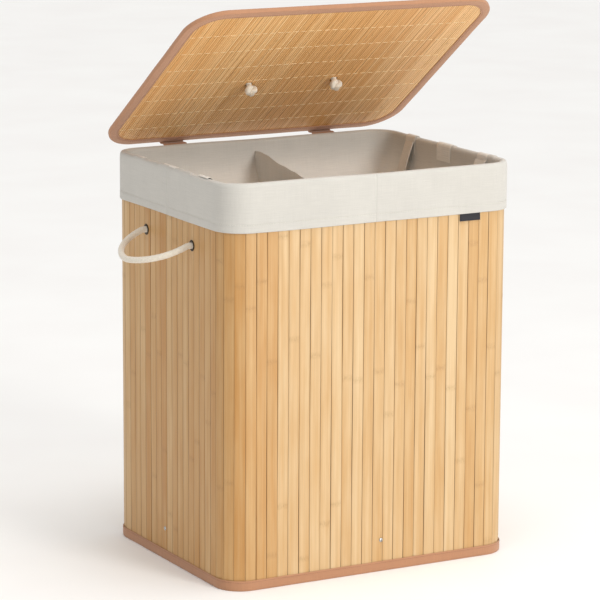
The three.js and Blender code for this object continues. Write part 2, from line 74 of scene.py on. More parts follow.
foot_low, foot_high = node_box("foot_binding")
WIDTH, DEPTH = (foot_high - foot_low)[:2] - 2 * FOOT_PROUD
MIDDLE_Y = (foot_low[1] + foot_high[1]) / 2
FOOT_TOP = foot_high[2]
cuff_low, cuff_high = node_box("liner_cuff")
CUFF_BOTTOM, RIM = cuff_low[2], cuff_high[2]
CUFF_PROUD = cuff_high[0] - WIDTH / 2
wall_low, wall_high = node_box("front_slats")
WALL_BOTTOM, WALL_TOP = wall_low[2], wall_high[2]
BAG_FLOOR = node_box("liner_floor")[0][2]
eyelet_at = np.mean(node_box("eyelet_left_back"), axis=0)
EYELET_Y, EYELET_Z = eyelet_at[1] - MIDDLE_Y, eyelet_at[2]
joints = {joint["name"]: joint for joint in frame["joints"]}


def joint_place(name):
    return np.array(joints[name]["pos_m"]) / MM


# ---------------------------------------------------------------- outlines
class Outline:
    """A rounded rectangle, walked counter-clockwise from the middle of its front edge."""

    def __init__(self, half_x, half_y, radius, middle_y=0.0):
        self.radius = radius
        self.middle_y = middle_y
        self.inner = np.array([half_x - radius, half_y - radius])
        self.quarter = math.pi / 2 * radius
        self.flats = [2 * self.inner[0], 2 * self.inner[1]] * 2
        self.length = sum(self.flats) + 4 * self.quarter

    def at(self, s, offset=0.0):
        """Points at distances s round the outline, moved outwards by offset, and the way out."""
        left = np.mod(np.asarray(s, float) + self.flats[0] / 2, self.length)
        point = np.zeros(left.shape + (2,))
        out = np.zeros_like(point)
        begin = 0.0
        signs = [(1, -1), (1, 1), (-1, 1), (-1, -1)]
        for side, (flat, (sx, sy)) in enumerate(zip(self.flats, signs)):
            along = left - begin
            swing = np.clip((along - flat) / self.radius, 0, math.pi / 2) + side * math.pi / 2
            here = (along >= 0) & (along < flat + self.quarter + 1e-9)
            centre = self.inner * (sx, sy)
            ahead = np.array([math.cos(side * math.pi / 2), math.sin(side * math.pi / 2)])
            way_out = np.stack([np.sin(swing), -np.cos(swing)], -1)
            back = np.minimum(along - flat, 0)[..., None] * ahead
            point[here] = (centre + way_out * self.radius + back)[here]
            out[here] = way_out[here]
            begin += flat + self.quarter
        point = point + out * np.asarray(offset, float)[..., None] + (0, self.middle_y)
        return point, out


body = Outline(WIDTH / 2, DEPTH / 2, CORNER, MIDDLE_Y)
SIDE_MIDDLE = body.length / 4
BACK_MIDDLE = body.length / 2


# ---------------------------------------------------------------- mesh helpers
class Builder:
    """Collects grids of quads in millimetres, with UVs in metres and values at the points."""

    def __init__(self):
        self.points, self.faces, self.uvs = [], [], []
        self.values = {}
        self.count = 0

    def grid(self, points, uv, across=False, along=False, caps=False, **values):
        """Rows of points; across and along say that a row, or a column, closes on itself."""
        rows, cols = points.shape[:2]
        index = self.count + np.arange(rows * cols).reshape(rows, cols)
        wrap = np.pad(index, ((0, int(along)), (0, int(across))), mode="wrap")
        quads = np.stack([wrap[:-1, :-1], wrap[:-1, 1:], wrap[1:, 1:], wrap[1:, :-1]], -1)
        corners = np.stack([uv[:-1, :-1], uv[:-1, 1:], uv[1:, 1:], uv[1:, :-1]], 2)
        self.faces.extend(quads.reshape(-1, 4).tolist())
        self.uvs.append(corners.reshape(-1, 2))
        if caps:
            for row, uv_row in ((index[0][::-1], uv[0, :cols][::-1]), (index[-1], uv[-1, :cols])):
                self.faces.append(row.tolist())
                self.uvs.append(uv_row)
        self.points.append(points.reshape(-1, 3))
        for name, value in values.items():
            spread = np.broadcast_to(np.asarray(value, float), (rows, cols))
            self.values.setdefault(name, []).append(spread.reshape(-1))
        self.count += rows * cols

    def build(self, name, look, sharp=SHARP, closed=True):
        """The collected grids as one object with one material."""
        mesh = bpy.data.meshes.new(name)
        mesh.from_pydata((np.concatenate(self.points) * MM).tolist(), [], self.faces)
        layer = mesh.uv_layers.new(name="cloth")
        layer.data.foreach_set("uv", np.concatenate(self.uvs).astype(np.float32).ravel())
        for label, parts in self.values.items():
            value = mesh.attributes.new(label, "FLOAT", "POINT")
            value.data.foreach_set("value", np.concatenate(parts).astype(np.float32))
        finish_mesh(mesh, sharp, closed)
        mesh.materials.append(look)
        return linked(name, mesh)

    def piece(self, name, look, rides_on, slot, *replaced, sharp=SHARP):
        return place(self.build(name, look, sharp), rides_on, slot, *replaced)


def linked(name, data):
    made = bpy.data.objects.new(name, data)
    bpy.context.scene.collection.objects.link(made)
    return made


def finish_mesh(mesh, sharp, closed=True):
    if closed:
        work = bmesh.new()
        work.from_mesh(mesh)
        bmesh.ops.recalc_face_normals(work, faces=work.faces)
        work.to_mesh(mesh)
        work.free()
    mesh.polygons.foreach_set("use_smooth", [True] * len(mesh.polygons))
    mesh.set_sharp_from_angle(angle=math.radians(sharp))


def place(piece, rides_on, slot, *replaced):
    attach(piece, rides_on)
    if replaced:
        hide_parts(*replaced)
    return piece


def applied(piece, *modifiers):
    """Adds modifiers as (type, settings) and keeps their result as the piece's mesh."""
    for kind, settings in modifiers:
        modifier = piece.modifiers.new(kind, kind)
        for key, value in settings.items():
            setattr(modifier, key, value)
    evaluated = piece.evaluated_get(bpy.context.evaluated_depsgraph_get())
    piece.data = bpy.data.meshes.new_from_object(evaluated)
    piece.modifiers.clear()
    return piece


def facing(direction):
    """The turn that takes +Z to a direction."""
    return Vector(direction).to_track_quat("Z", "Y").to_matrix()


def drilled(piece, holes):
    """Cuts round holes, each (centre, direction, radius, half length), through a piece."""
    cutter_mesh = bpy.data.meshes.new("cutter")
    work = bmesh.new()
    for centre, direction, radius, reach in holes:
        matrix = Matrix.Translation(Vector(centre) * MM) @ facing(direction).to_4x4()
        bmesh.ops.create_cone(work, cap_ends=True, segments=32, radius1=radius * MM,
                              radius2=radius * MM, depth=2 * reach * MM, matrix=matrix)
    work.to_mesh(cutter_mesh)
    work.free()
    cutter = linked("cutter", cutter_mesh)
    applied(piece, ("BOOLEAN", {"operation": "DIFFERENCE", "object": cutter, "solver": "EXACT"}))
    bpy.data.objects.remove(cutter)
    piece.data.set_sharp_from_angle(angle=math.radians(SHARP))


def unit(rows):
    return rows / np.linalg.norm(rows, axis=-1, keepdims=True)


def path_frames(path):
    """Directions along a path, and two across it that turn as little as they can."""
    along = unit(np.gradient(path, axis=0))
    side = np.zeros_like(path)
    start = np.cross(along[0], (0.0, 0.0, 1.0))
    if np.linalg.norm(start) < 0.2:
        start = np.cross(along[0], (0.0, 1.0, 0.0))
    side[0] = unit(start)
    for i in range(1, len(path)):
        side[i] = unit(side[i - 1] - along[i] * (side[i - 1] @ along[i]))
    return along, side, np.cross(along, side)


def path_run(path):
    """Distance along a path at each of its points."""
    return np.concatenate([[0], np.cumsum(np.linalg.norm(np.diff(path, axis=0), axis=1))])


def sampled(rows, run, at):
    return np.stack([np.interp(at, run, column) for column in rows.T], 1)


def smooth_path(points, step, rounds):
    """Evenly spaced points along a line whose corners have been cut round."""
    line = np.array(points, float)
    for _ in range(rounds):
        cut = np.empty((2 * len(line) - 2, 3))
        cut[0::2] = line[:-1] * 0.75 + line[1:] * 0.25
        cut[1::2] = line[:-1] * 0.25 + line[1:] * 0.75
        line = np.vstack([line[:1], cut, line[-1:]])
    run = path_run(line)
    return sampled(line, run, np.linspace(0, run[-1], max(3, int(run[-1] / step) + 1)))


def uv_grid(across, along):
    """Map places in metres for a grid whose runs are given in millimetres."""
    return np.stack(np.meshgrid(across, along), -1) * MM


def circle(side, up, count):
    """Unit circles across a path, one for each of its points."""
    angle = np.linspace(0, 2 * math.pi, count, endpoint=False)[:, None]
    return side[:, None] * np.cos(angle) + up[:, None] * np.sin(angle)


def tube(builder, path, radius, sides, relief=None):
    """A closed tube; relief(angle, distance) scales its radius."""
    _, side, up = path_frames(path)
    run = path_run(path)
    size = np.broadcast_to(radius, (len(path),))[:, None] * np.ones(sides)
    if relief:
        size = size * relief(np.linspace(0, 2 * math.pi, sides, endpoint=False), run[:, None])
    points = path[:, None] + circle(side, up, sides) * size[..., None]
    turns = np.linspace(0, 2 * math.pi * np.max(radius), sides + 1)
    builder.grid(points, uv_grid(turns, run), across=True, caps=True)


def stitches(builder, path, normals, length, gap, radius, height=0.6, start=0.0):
    """A row of raised thread stitches along a path."""
    run = path_run(path)
    t = np.linspace(0, 1, 6)
    swell = np.sqrt(np.clip(1 - (2 * t - 1) ** 4, 0.04, 1))
    for begin in np.arange(start, run[-1] - length, length + gap):
        at = begin + length * t
        line = sampled(path, run, at)
        up = sampled(normals, run, at)
        along, _, _ = path_frames(line)
        middle = line + up * (radius * height * (2 * swell - 1.4))[:, None]
        ring = circle(np.cross(along, up), up, 6)
        points = middle[:, None] + ring * (radius * swell)[:, None, None]
        builder.grid(points, uv_grid(np.linspace(0, radius * 6, 7), at), across=True, caps=True)


def ripples(s, z, rng, count, waves_round, waves_up, length):
    """Gentle random waves that join up after one turn round an outline of that length."""
    total = np.zeros(np.broadcast(s, z).shape)
    for _ in range(count):
        turns = rng.integers(waves_round[0], waves_round[1]) * rng.choice([-1, 1])
        rise = rng.uniform(*waves_up)
        phase = rng.uniform(0, 2 * math.pi)
        total = total + np.sin(2 * math.pi * turns * s / length + rise * z + phase)
    return total / math.sqrt(count)


def smoothstep(value, low, high):
    t = np.clip((np.asarray(value, float) - low) / (high - low), 0, 1)
    return t * t * (3 - 2 * t)


# ---------------------------------------------------------------- materials
class Look:
    """A node material on the Principled shader."""

    def __init__(self, name, **sockets):
        self.material = bpy.data.materials.new(name)
        self.material.use_nodes = True
        self.tree = self.material.node_tree
        self.shader = self.tree.nodes["Principled BSDF"]
        for socket, value in sockets.items():
            self.shader.inputs[socket.replace("_", " ")].default_value = value

    def node(self, kind, **settings):
        made = self.tree.nodes.new(kind)
        for key, value in settings.items():
            setattr(made, key, value)
        return made

    def link(self, source, target):
        self.tree.links.new(source, target)

    def uv(self, scale):
        """The piece's own map in metres, stretched by scale."""
        source = self.node("ShaderNodeUVMap", uv_map="cloth").outputs[0]
        return self.stretched(source, (*scale, 1))

    def solid(self, scale):
        """Places in the piece's own space in metres, stretched by scale."""
        return self.stretched(self.node("ShaderNodeTexCoord").outputs["Object"], scale)

    def stretched(self, source, scale):
        mapping = self.node("ShaderNodeMapping")
        self.link(source, mapping.inputs["Vector"])
        mapping.inputs["Scale"].default_value = scale
        return mapping.outputs[0]

    def noise(self, vector, detail=3.0, roughness=0.55):
        made = self.node("ShaderNodeTexNoise")
        self.link(vector, made.inputs["Vector"])
        made.inputs["Scale"].default_value = 1.0
        made.inputs["Detail"].default_value = detail
        made.inputs["Roughness"].default_value = roughness
        return made.outputs["Fac"]

    def bands(self, vector, direction="X", distortion=0.0):
        made = self.node("ShaderNodeTexWave", bands_direction=direction)
        self.link(vector, made.inputs["Vector"])
        made.inputs["Scale"].default_value = 1 / 20
        made.inputs["Distortion"].default_value = distortion
        return made.outputs["Fac"]

    def value(self, name):
        return self.node("ShaderNodeAttribute", attribute_name=name).outputs["Fac"]

    def math(self, operation, a, b):
        made = self.node("ShaderNodeMath", operation=operation)
        for socket, source in zip(made.inputs, (a, b)):
            if isinstance(source, (int, float)):
                socket.default_value = source
            else:
                self.link(source, socket)
        return made.outputs[0]

    def span(self, source, low, high, to_low=0.0, to_high=1.0):
        made = self.node("ShaderNodeMapRange")
        self.link(source, made.inputs["Value"])
        limits = (low, high, to_low, to_high)
        for socket, limit in zip(("From Min", "From Max", "To Min", "To Max"), limits):
            made.inputs[socket].default_value = limit
        return made.outputs[0]

    def ramp(self, source, *stops):
        made = self.node("ShaderNodeValToRGB")
        self.link(source, made.inputs["Fac"])
        elements = made.color_ramp.elements
        while len(elements) < len(stops):
            elements.new(0.5)
        for element, (place_at, colour) in zip(elements, stops):
            element.position = place_at
            element.color = (*srgb(*colour), 1)
        return made.outputs["Color"]

    def mix(self, factor, a, b, blend="MIX"):
        made = self.node("ShaderNodeMix", data_type="RGBA", blend_type=blend)
        for socket, source in zip((made.inputs[0], made.inputs[6], made.inputs[7]), (factor, a, b)):
            if isinstance(source, (int, float)):
                socket.default_value = source
            elif isinstance(source, tuple):
                socket.default_value = (*srgb(*source), 1)
            else:
                self.link(source, socket)
        return made.outputs[2]

    def bump(self, height, strength, depth):
        """Bumps of that depth in millimetres, over any bumps there already."""
        made = self.node("ShaderNodeBump")
        made.inputs["Strength"].default_value = strength
        made.inputs["Distance"].default_value = depth * MM
        self.link(height, made.inputs["Height"])
        normal = self.shader.inputs["Normal"]
        if normal.is_linked:
            self.link(normal.links[0].from_socket, made.inputs["Normal"])
        self.link(made.outputs[0], normal)

    def paint(self, colour):
        self.link(colour, self.shader.inputs["Base Color"])

    def rough(self, source):
        self.link(source, self.shader.inputs["Roughness"])


def srgb(*colour):
    """Linear values of an 8-bit sRGB colour."""
    return tuple(((c / 255 + 0.055) / 1.055) ** 2.4 if c > 10 else c / 255 / 12.92 for c in colour)


def bamboo_look(name, pale, deep, fibres, coat=0.12):
    """Planed bamboo: lengthwise fibres, tone that differs from slat to slat, node marks, and
    painted shade that darkens each slat's sides where the gaps between slats fall in shade.
    """
    look = Look(name, Roughness=0.5, Coat_Weight=coat, Coat_Roughness=0.3)
    fibre = look.noise(look.uv((fibres, 6)), detail=4)
    streak = look.noise(look.uv((fibres / 6, 2.5)), detail=3)
    blotch = look.noise(look.uv((60, 9)), detail=3)
    tone = look.span(look.value("tone"), -1, 1, 0.05, 0.95)
    wander = look.math("ADD", tone, look.span(streak, 0.3, 0.7, -0.18, 0.18))
    wander = look.math("ADD", wander, look.span(blotch, 0.3, 0.7, -0.14, 0.14))
    base = look.ramp(wander, (0.0, deep), (0.5, tuple((a + b) / 2 for a, b in zip(pale, deep))),
                     (1.0, pale))
    shade = look.span(fibre, 0.35, 0.68, 0.93, 1.03)
    colour = look.mix(1.0, base, shade_colour(look, shade), "MULTIPLY")
    near = look.span(look.value("knot"), 0.02, 0.3, 1, 0)
    speck = look.noise(look.uv((420, 190)), detail=4, roughness=0.7)
    mark = look.math("MULTIPLY", near, look.span(speck, 0.36, 0.62, 0.0, 0.34))
    colour = look.mix(mark, colour, tuple(c * 0.78 for c in deep))
    # painted shade: the point value edge darkens the slat's sides and rounded edges towards a deep
    # brown, standing in for the shade in the gaps between slats
    edge = look.math("MULTIPLY", look.value("edge"), 0.55)
    colour = look.mix(edge, colour, tuple(c * 0.6 for c in deep))
    look.paint(colour)
    look.rough(look.span(fibre, 0.3, 0.7, 0.42, 0.6))
    look.bump(fibre, 0.35, 0.12)
    look.bump(mark, 0.3, 0.15)
    return look.material


def shade_colour(look, value):
    made = look.node("ShaderNodeCombineColor")
    for socket in made.inputs:
        look.link(value, socket)
    return made.outputs[0]


def woven_look(name, colour, painted_inner_light, pitch=0.55, slub=0.1, sheen=0.25, roughness=0.85):
    """Plain weave with slubby threads; the point value inside turns it to the second colour, a
    painted tint that stands for the light and the warm bounce light inside the bag.
    """
    look = Look(name, Roughness=roughness, Sheen_Weight=sheen, Sheen_Roughness=0.5)
    turns = 2 * math.pi / (pitch * MM)
    warp = look.bands(look.uv((turns, 40)), "X", 0.8)
    weft = look.bands(look.uv((40, turns)), "Y", 0.8)
    weave = look.math("MAXIMUM", warp, weft)
    across = look.noise(look.uv((28, 900)), detail=3, roughness=0.6)
    upright = look.noise(look.uv((900, 28)), detail=3, roughness=0.6)
    patch = look.noise(look.uv((14, 14)), detail=2)
    # painted light: inside, the cloth is blended to the second colour, which stands for light and
    # warm bounce light, not for the cloth's own colour
    base = look.mix(look.value("inside"), colour, painted_inner_light)
    streaks = look.math("ADD", look.span(across, 0.35, 0.65, -slub, slub),
                        look.span(upright, 0.35, 0.65, -slub * 0.6, slub * 0.6))
    shade = look.math("ADD", look.span(patch, 0.3, 0.7, 0.96, 1.02), streaks)
    shade = look.math("MULTIPLY", shade, look.span(weave, 0.0, 1.0, 0.9, 1.0))
    look.paint(look.mix(1.0, base, shade_colour(look, shade), "MULTIPLY"))
    look.bump(weave, 0.35, 0.12)
    look.bump(look.math("ADD", across, upright), 0.4, 0.15)
    return look.material


def rope_look():
    look = Look("cotton_rope", Roughness=0.9, Sheen_Weight=0.35, Sheen_Roughness=0.6)
    fibre = look.noise(look.uv((2200, 260)), detail=4)
    soft = look.noise(look.uv((120, 90)), detail=2)
    colour = look.ramp(fibre, (0.25, (206, 194, 174)), (0.6, (236, 229, 216)),
                       (0.85, (246, 242, 234)))
    look.paint(look.mix(look.span(soft, 0.3, 0.7, 0.0, 0.25), colour, (214, 200, 178)))
    look.bump(fibre, 0.5, 0.25)
    return look.material


def metal_look(name, bright, dull, roughness):
    look = Look(name, Metallic=1.0)
    wear = look.noise(look.solid((320, 320, 320)), detail=4)
    scratch = look.noise(look.solid((900, 900, 120)), detail=3)
    look.paint(look.ramp(wear, (0.3, dull), (0.65, bright)))
    look.rough(look.span(scratch, 0.3, 0.7, roughness - 0.08, roughness + 0.12))
    look.bump(scratch, 0.15, 0.05)
    return look.material


def wood_look(name, pale, deep, stretch):
    """Sawn softwood: growth bands along one axis, with pores."""
    look = Look(name, Roughness=0.75)
    ring = look.noise(look.solid(stretch), detail=4)
    pore = look.noise(look.solid(tuple(4 * s for s in stretch)), detail=5, roughness=0.7)
    base = look.ramp(ring, (0.3, deep), (0.55, pale), (0.75, deep))
    shade = shade_colour(look, look.span(pore, 0.3, 0.7, 0.85, 1.04))
    look.paint(look.mix(1.0, base, shade, "MULTIPLY"))
    look.bump(pore, 0.4, 0.2)
    return look.material


def thread_look(name, colour):
    look = Look(name, Roughness=0.7, Sheen_Weight=0.3)
    twist = look.noise(look.uv((1500, 3000)), detail=2)
    look.paint(look.mix(look.span(twist, 0.3, 0.7), tuple(c * 0.86 for c in colour), colour))
    look.bump(twist, 0.4, 0.1)
    return look.material


def fleece_look(name, colour, deep, scale):
    """Brushed or pressed fibres, with no thread direction."""
    look = Look(name, Roughness=0.95, Sheen_Weight=0.3)
    fibre = look.noise(look.solid((scale, scale, scale)), detail=5, roughness=0.7)
    clump = look.noise(look.solid((scale / 8, scale / 8, scale / 8)), detail=3)
    base = look.ramp(fibre, (0.3, deep), (0.65, colour))
    look.paint(look.mix(look.span(clump, 0.3, 0.7, 0.0, 0.35), base, deep))
    look.bump(fibre, 0.6, 0.3)
    return look.material


slat_look = bamboo_look("bamboo_slat", (216, 186, 142), (188, 137, 74), 900)
strip_look = bamboo_look("bamboo_strip", (250, 208, 150), (228, 168, 100), 1500)
# the second colours are painted light: the liner's inside is painted lighter and the strap's inside
# warmer and darker, for the light and warm bounce inside the bag; binding, tag and tape pieces
# carry no inside value and keep their first colour
linen = woven_look("linen", (203, 200, 193), (250, 245, 237), slub=0.035)
strap_linen = woven_look("linen_tape", (226, 221, 213), (214, 201, 183), pitch=0.8, slub=0.04)
binding_cloth = woven_look("binding_twill", (184, 134, 100), (150, 98, 68), pitch=0.45, slub=0.03)
tag_cloth = woven_look("tag_cloth", (38, 37, 43), (30, 30, 34), pitch=0.4, slub=0.04)
hook_white = woven_look("loop_tape", (238, 235, 228), (210, 200, 184), pitch=1.1, slub=0.08)
rope_cotton = rope_look()
screw_steel = metal_look("screw_steel", (214, 214, 212), (168, 168, 168), 0.28)
eyelet_metal = metal_look("eyelet_metal", (92, 78, 62), (48, 40, 32), 0.38)
hoop_steel = metal_look("hoop_steel", (150, 152, 156), (104, 106, 110), 0.35)
cream_thread = thread_look("cream_thread", (244, 214, 164))
linen_thread = thread_look("linen_thread", (232, 227, 218))
brown_thread = thread_look("brown_thread", (160, 110, 80))
rail_wood = wood_look("rail_wood", (222, 188, 138), (198, 158, 108), (60, 60, 500))
board_look = wood_look("board", (188, 148, 104), (160, 120, 80), (90, 40, 400))
backing_look = fleece_look("backing_cloth", (176, 138, 98), (136, 98, 64), 900)
hook_dark = fleece_look("hook_tape", (62, 58, 54), (28, 26, 24), 1400)


# ---------------------------------------------------------------- camera and light
CAMERA_AT = (-2.2463, -4.0530, 1.3229)
CAMERA_AZIMUTH, CAMERA_DOWN, CAMERA_ROLL = 28.842, 11.542, 0.299
CAMERA_LENS = 187.15
# name, place, what it points at, width in metres, watts, colour
AREA_LIGHTS = (
    ("key", (0.9, -3.5, 1.95), (0, 0, 0.5), 1.2, 54, (1.0, 0.985, 0.96)),
    ("lid_fill", (0.5, -1.9, 0.12), (0, 0.05, 0.75), 1.0, 6.5, (1.0, 0.97, 0.92)),
    ("left_fill", (-2.6, -1.7, 2.6), (0, 0, 0.4), 0.7, 4, (1.0, 0.95, 0.88)),
)
SKY, SKY_STRENGTH = (1.0, 0.985, 0.965, 1), 0.58
SUN_STRENGTH, SUN_ANGLE, SUN_TILT = 1.3, 40, (8, 6)
FLOOR_HALF = 40.0


def add_camera():
    data = bpy.data.cameras.new("camera")
    data.sensor_width = 36
    data.lens = CAMERA_LENS
    data.clip_end = 20
    camera = linked("camera", data)
    camera.location = CAMERA_AT
    turn, down = math.radians(CAMERA_AZIMUTH), math.radians(CAMERA_DOWN)
    level = math.cos(down)
    ahead = Vector((math.sin(turn) * level, math.cos(turn) * level, -math.sin(down)))
    view = ahead.to_track_quat("-Z", "Y").to_matrix().to_4x4()
    roll = Matrix.Rotation(math.radians(CAMERA_ROLL), 4, "Z")
    camera.rotation_euler = (view @ roll).to_euler()
    bpy.context.scene.camera = camera


def add_studio():
    world = bpy.data.worlds.new("studio")
    world.use_nodes = True
    background = world.node_tree.nodes["Background"]
    background.inputs["Color"].default_value = SKY
    background.inputs["Strength"].default_value = SKY_STRENGTH
    bpy.context.scene.world = world
    for name, place_at, target, size, power, colour in AREA_LIGHTS:
        data = bpy.data.lights.new(name, "AREA")
        data.shape = "DISK"
        data.size = size
        data.energy = power
        data.color = colour
        light = linked(name, data)
        light.location = place_at
        towards = Vector(target) - Vector(place_at)
        light.rotation_euler = towards.to_track_quat("-Z", "Y").to_euler()
    sun = bpy.data.lights.new("overhead", "SUN")
    sun.energy = SUN_STRENGTH
    sun.angle = math.radians(SUN_ANGLE)
    sun.color = (1.0, 0.995, 0.985)
    linked("overhead", sun).rotation_euler = (*map(math.radians, SUN_TILT), 0)
    bpy.context.scene.view_settings.view_transform = "Standard"


def add_floor():
    data = bpy.data.meshes.new("floor")
    corners = [(x * FLOOR_HALF, y * FLOOR_HALF, 0) for x, y in ((-1, -1), (1, -1), (1, 1), (-1, 1))]
    data.from_pydata(corners, [], [(0, 1, 2, 3)])
    look = Look("pale_floor", Roughness=0.7)
    haze = look.noise(look.solid((3, 3, 3)), detail=2)
    look.paint(look.ramp(haze, (0.3, (247, 246, 245)), (0.7, (250, 250, 249))))
    data.materials.append(look.material)
    linked("floor", data)


add_camera()
add_studio()
add_floor()


# ---------------------------------------------------------------- ropes
ROPE = 4.6                      # radius of a handle's rope
ROPE_SHARP = 80
HANDLE_STAND = 7.0              # swing line, out from the wall
HANDLE_ROOT = 6.0               # how far behind the wall's face a side handle's rope starts
HANDLE_REACH, HANDLE_DROOP = 68.0, 22.7
LID_HANDLE = {"half": 73.0, "y": -173.0, "reach": 52.0, "lift": 12.0, "stand": 13.0}
FRAY_STRANDS = 46


def braid(angle, distance):
    """Low bumps of an eight-strand braid."""
    lean = distance * 2 * math.pi / 15
    crossing = np.sin(4 * angle + lean) * np.sin(4 * angle - lean)
    return 1 + 0.035 * crossing + 0.012 * np.sin(8 * angle)


def loop_line(half, reach):
    """Points of a handle's loop: reach away from the swing line, and place across it."""
    a = np.linspace(0, math.pi, 90)
    across = half * np.sign(np.cos(a)) * np.abs(np.cos(a)) ** 1.25
    return reach * np.sin(a) ** 0.85, across


def rope_loop(path, node):
    """A handle's rope as one braided tube, standing in for the CAD part it hides."""
    builder = Builder()
    tube(builder, path, ROPE, 24, braid)
    piece = builder.build(node + "_cord", rope_cotton, ROPE_SHARP)
    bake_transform(piece)
    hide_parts(node)


def side_handle(side, sx):
    out, across = loop_line(EYELET_Y, HANDLE_REACH)
    droop = math.radians(HANDLE_DROOP)
    swing_x = WIDTH / 2 + HANDLE_STAND
    loop = np.stack([sx * (swing_x + out * math.cos(droop)), MIDDLE_Y + across,
                     EYELET_Z - out * math.sin(droop)], 1)
    root_x = sx * (WIDTH / 2 - HANDLE_ROOT)
    first, last = ([[root_x, MIDDLE_Y + y, EYELET_Z]] for y in (EYELET_Y, -EYELET_Y))
    path = smooth_path(np.vstack([first, loop, last]), 1.3, 2)
    rope_loop(path, f"rope_handle_{side}")


def knot_line(radius, flat):
    """Centreline of a rope tied in an overhand knot, as high as flat says."""
    t = np.linspace(0, 2 * math.pi, 70, endpoint=False)
    x = np.sin(t) + 2 * np.sin(2 * t)
    y = np.cos(t) - 2 * np.cos(2 * t)
    z = -np.sin(3 * t)
    return np.stack([x * radius / 3, y * radius / 3, z * flat], 1)


def rope_knot(node, centre, outward, radius, rope, rides_on, stub_length, tail_length):
    """An overhand knot with the rope's stub towards the hole and a frayed tail behind it."""
    name = node + "_cord"
    turn = np.array(facing(Vector(outward).normalized()))
    centre = np.array(centre, float)
    builder = Builder()
    line = knot_line(radius - rope, rope * 0.75) @ turn.T + centre
    tube(builder, np.vstack([line, line[:2]]), rope, 14, braid)
    stub = np.array([[0, 0, share * stub_length] for share in (0, 0.5, 1)], float)
    tube(builder, smooth_path(stub @ turn.T + centre, 1.2, 1), rope * 0.94, 16, braid)
    rng = np.random.default_rng(len(name) * 7 + int(abs(centre[0])))
    hang = unit(np.array([0.25, 0.35, -1.0]))
    stem = hang * np.linspace(0, tail_length, 7)[:, None]
    tube(builder, stem @ turn.T + centre, np.linspace(rope * 0.9, rope * 0.8, 7), 16, braid)
    for _ in range(FRAY_STRANDS):
        spread = rng.normal(0, 0.34, 3)
        root = hang * (tail_length - 1.5) + rng.normal(0, rope * 0.33, 3) * (1, 1, 0.2)
        tip = root + (hang + spread * 0.8) * rng.uniform(2.2, 4.6)
        bend = (root + tip) / 2 + spread * 0.5
        strand = smooth_path(np.array([root, bend, tip]) @ turn.T + centre, 0.9, 1)
        tube(builder, strand, np.linspace(0.42, 0.16, len(strand)), 5)
    builder.piece(name, rope_cotton, rides_on, "rope", node, sharp=ROPE_SHARP)


for side_name, sign in SIDES:
    side_handle(side_name, sign)
    for end_name, _ in ENDS:
        node_name = f"rope_knot_{side_name}_{end_name}"
        low_corner, high_corner = node_box(node_name)
        middle = (low_corner + high_corner) / 2
        ball = (high_corner - low_corner)[2] / 2
        middle[0] = low_corner[0] + ball if sign > 0 else high_corner[0] - ball
        rope_knot(node_name, middle, (sign, 0, 0), ball - 0.2, 3.6, "hamper_body",
                  WIDTH / 2 - abs(middle[0]) + 1.5, 6.5)


# ---------------------------------------------------------------- bamboo wall
def slat(builder, origin, axes, length, width, thick, rng, tone, crown=0.12, rounding=0.5,
         internode=(230, 470), section=7):
    """One slat, from the middle of its outer face at one end; axes run across, out and along."""
    across, out, along = (np.array(axis, float) for axis in axes)
    half = width / 2
    knots = [rng.uniform(20, internode[1])]
    while knots[-1] < length:
        knots.append(knots[-1] + rng.uniform(*internode))
    reach = 22.0                # how far a node mark's shade runs along the slat
    near = [knot + step for knot in knots for step in (-reach, -6, -2.5, 0, 2.5, 6, reach)]
    stations = np.array(sorted({0.0, length, *(z for z in near if 0 < z < length),
                                *np.linspace(0, length, 7)}))
    stations = stations[np.append(True, np.diff(stations) > 0.4)]
    apart = np.min(np.abs(stations[:, None] - np.array(knots)[None]), axis=1)
    ridge = 0.16 * np.exp(-(apart / 2.6) ** 2)
    bow = 0.22 * np.sin(stations / length * math.pi * rng.uniform(1, 3) + rng.uniform(0, 6))
    face = np.linspace(-1, 1, section) * (half - rounding)
    top = crown * (1 - (face / half) ** 2)
    u = np.concatenate([[-half, -half, -half + rounding * 0.3], face,
                        [half - rounding * 0.3, half, half]])
    d = np.concatenate([[-thick, -rounding, -rounding * 0.3], top,
                        [-rounding * 0.3, -rounding, -thick]])
    # painted shade: how much each profile point is darkened, fully on the sides and inner face,
    # fading over the rounding, none on the face, for the shade in the gaps between slats
    shade = np.concatenate([[1, 1, 0.6], [0.12], np.zeros(section - 2), [0.12], [0.6, 1, 1]])
    proud = rng.uniform(-0.1, 0.12)
    lifted = np.where(d > -thick, 1.0, 0.0)
    rise = d + (ridge[:, None] + proud) * lifted
    points = (origin + across * (u + bow[:, None])[..., None] + out * rise[..., None]
              + along * stations[:, None, None])
    seed = rng.uniform(0, 4000, 2)
    uv = uv_grid(np.append(u, u[0]) + seed[0], stations + seed[1])
    builder.grid(points, uv, across=True, caps=True, tone=tone, edge=shade[None, :],
                 knot=np.minimum(apart / reach, 1)[:, None])


def slat_tones(rng, count, middle, spread):
    """Tones from -1, deep, to 1, pale, with runs of neighbours cut from one cane."""
    drift = np.cumsum(rng.normal(0, 0.3, count))
    drift -= np.linspace(drift[0], drift[-1], count)
    return np.clip(middle + spread * (rng.normal(0, 1, count) + 0.5 * drift), -1.1, 1.1)


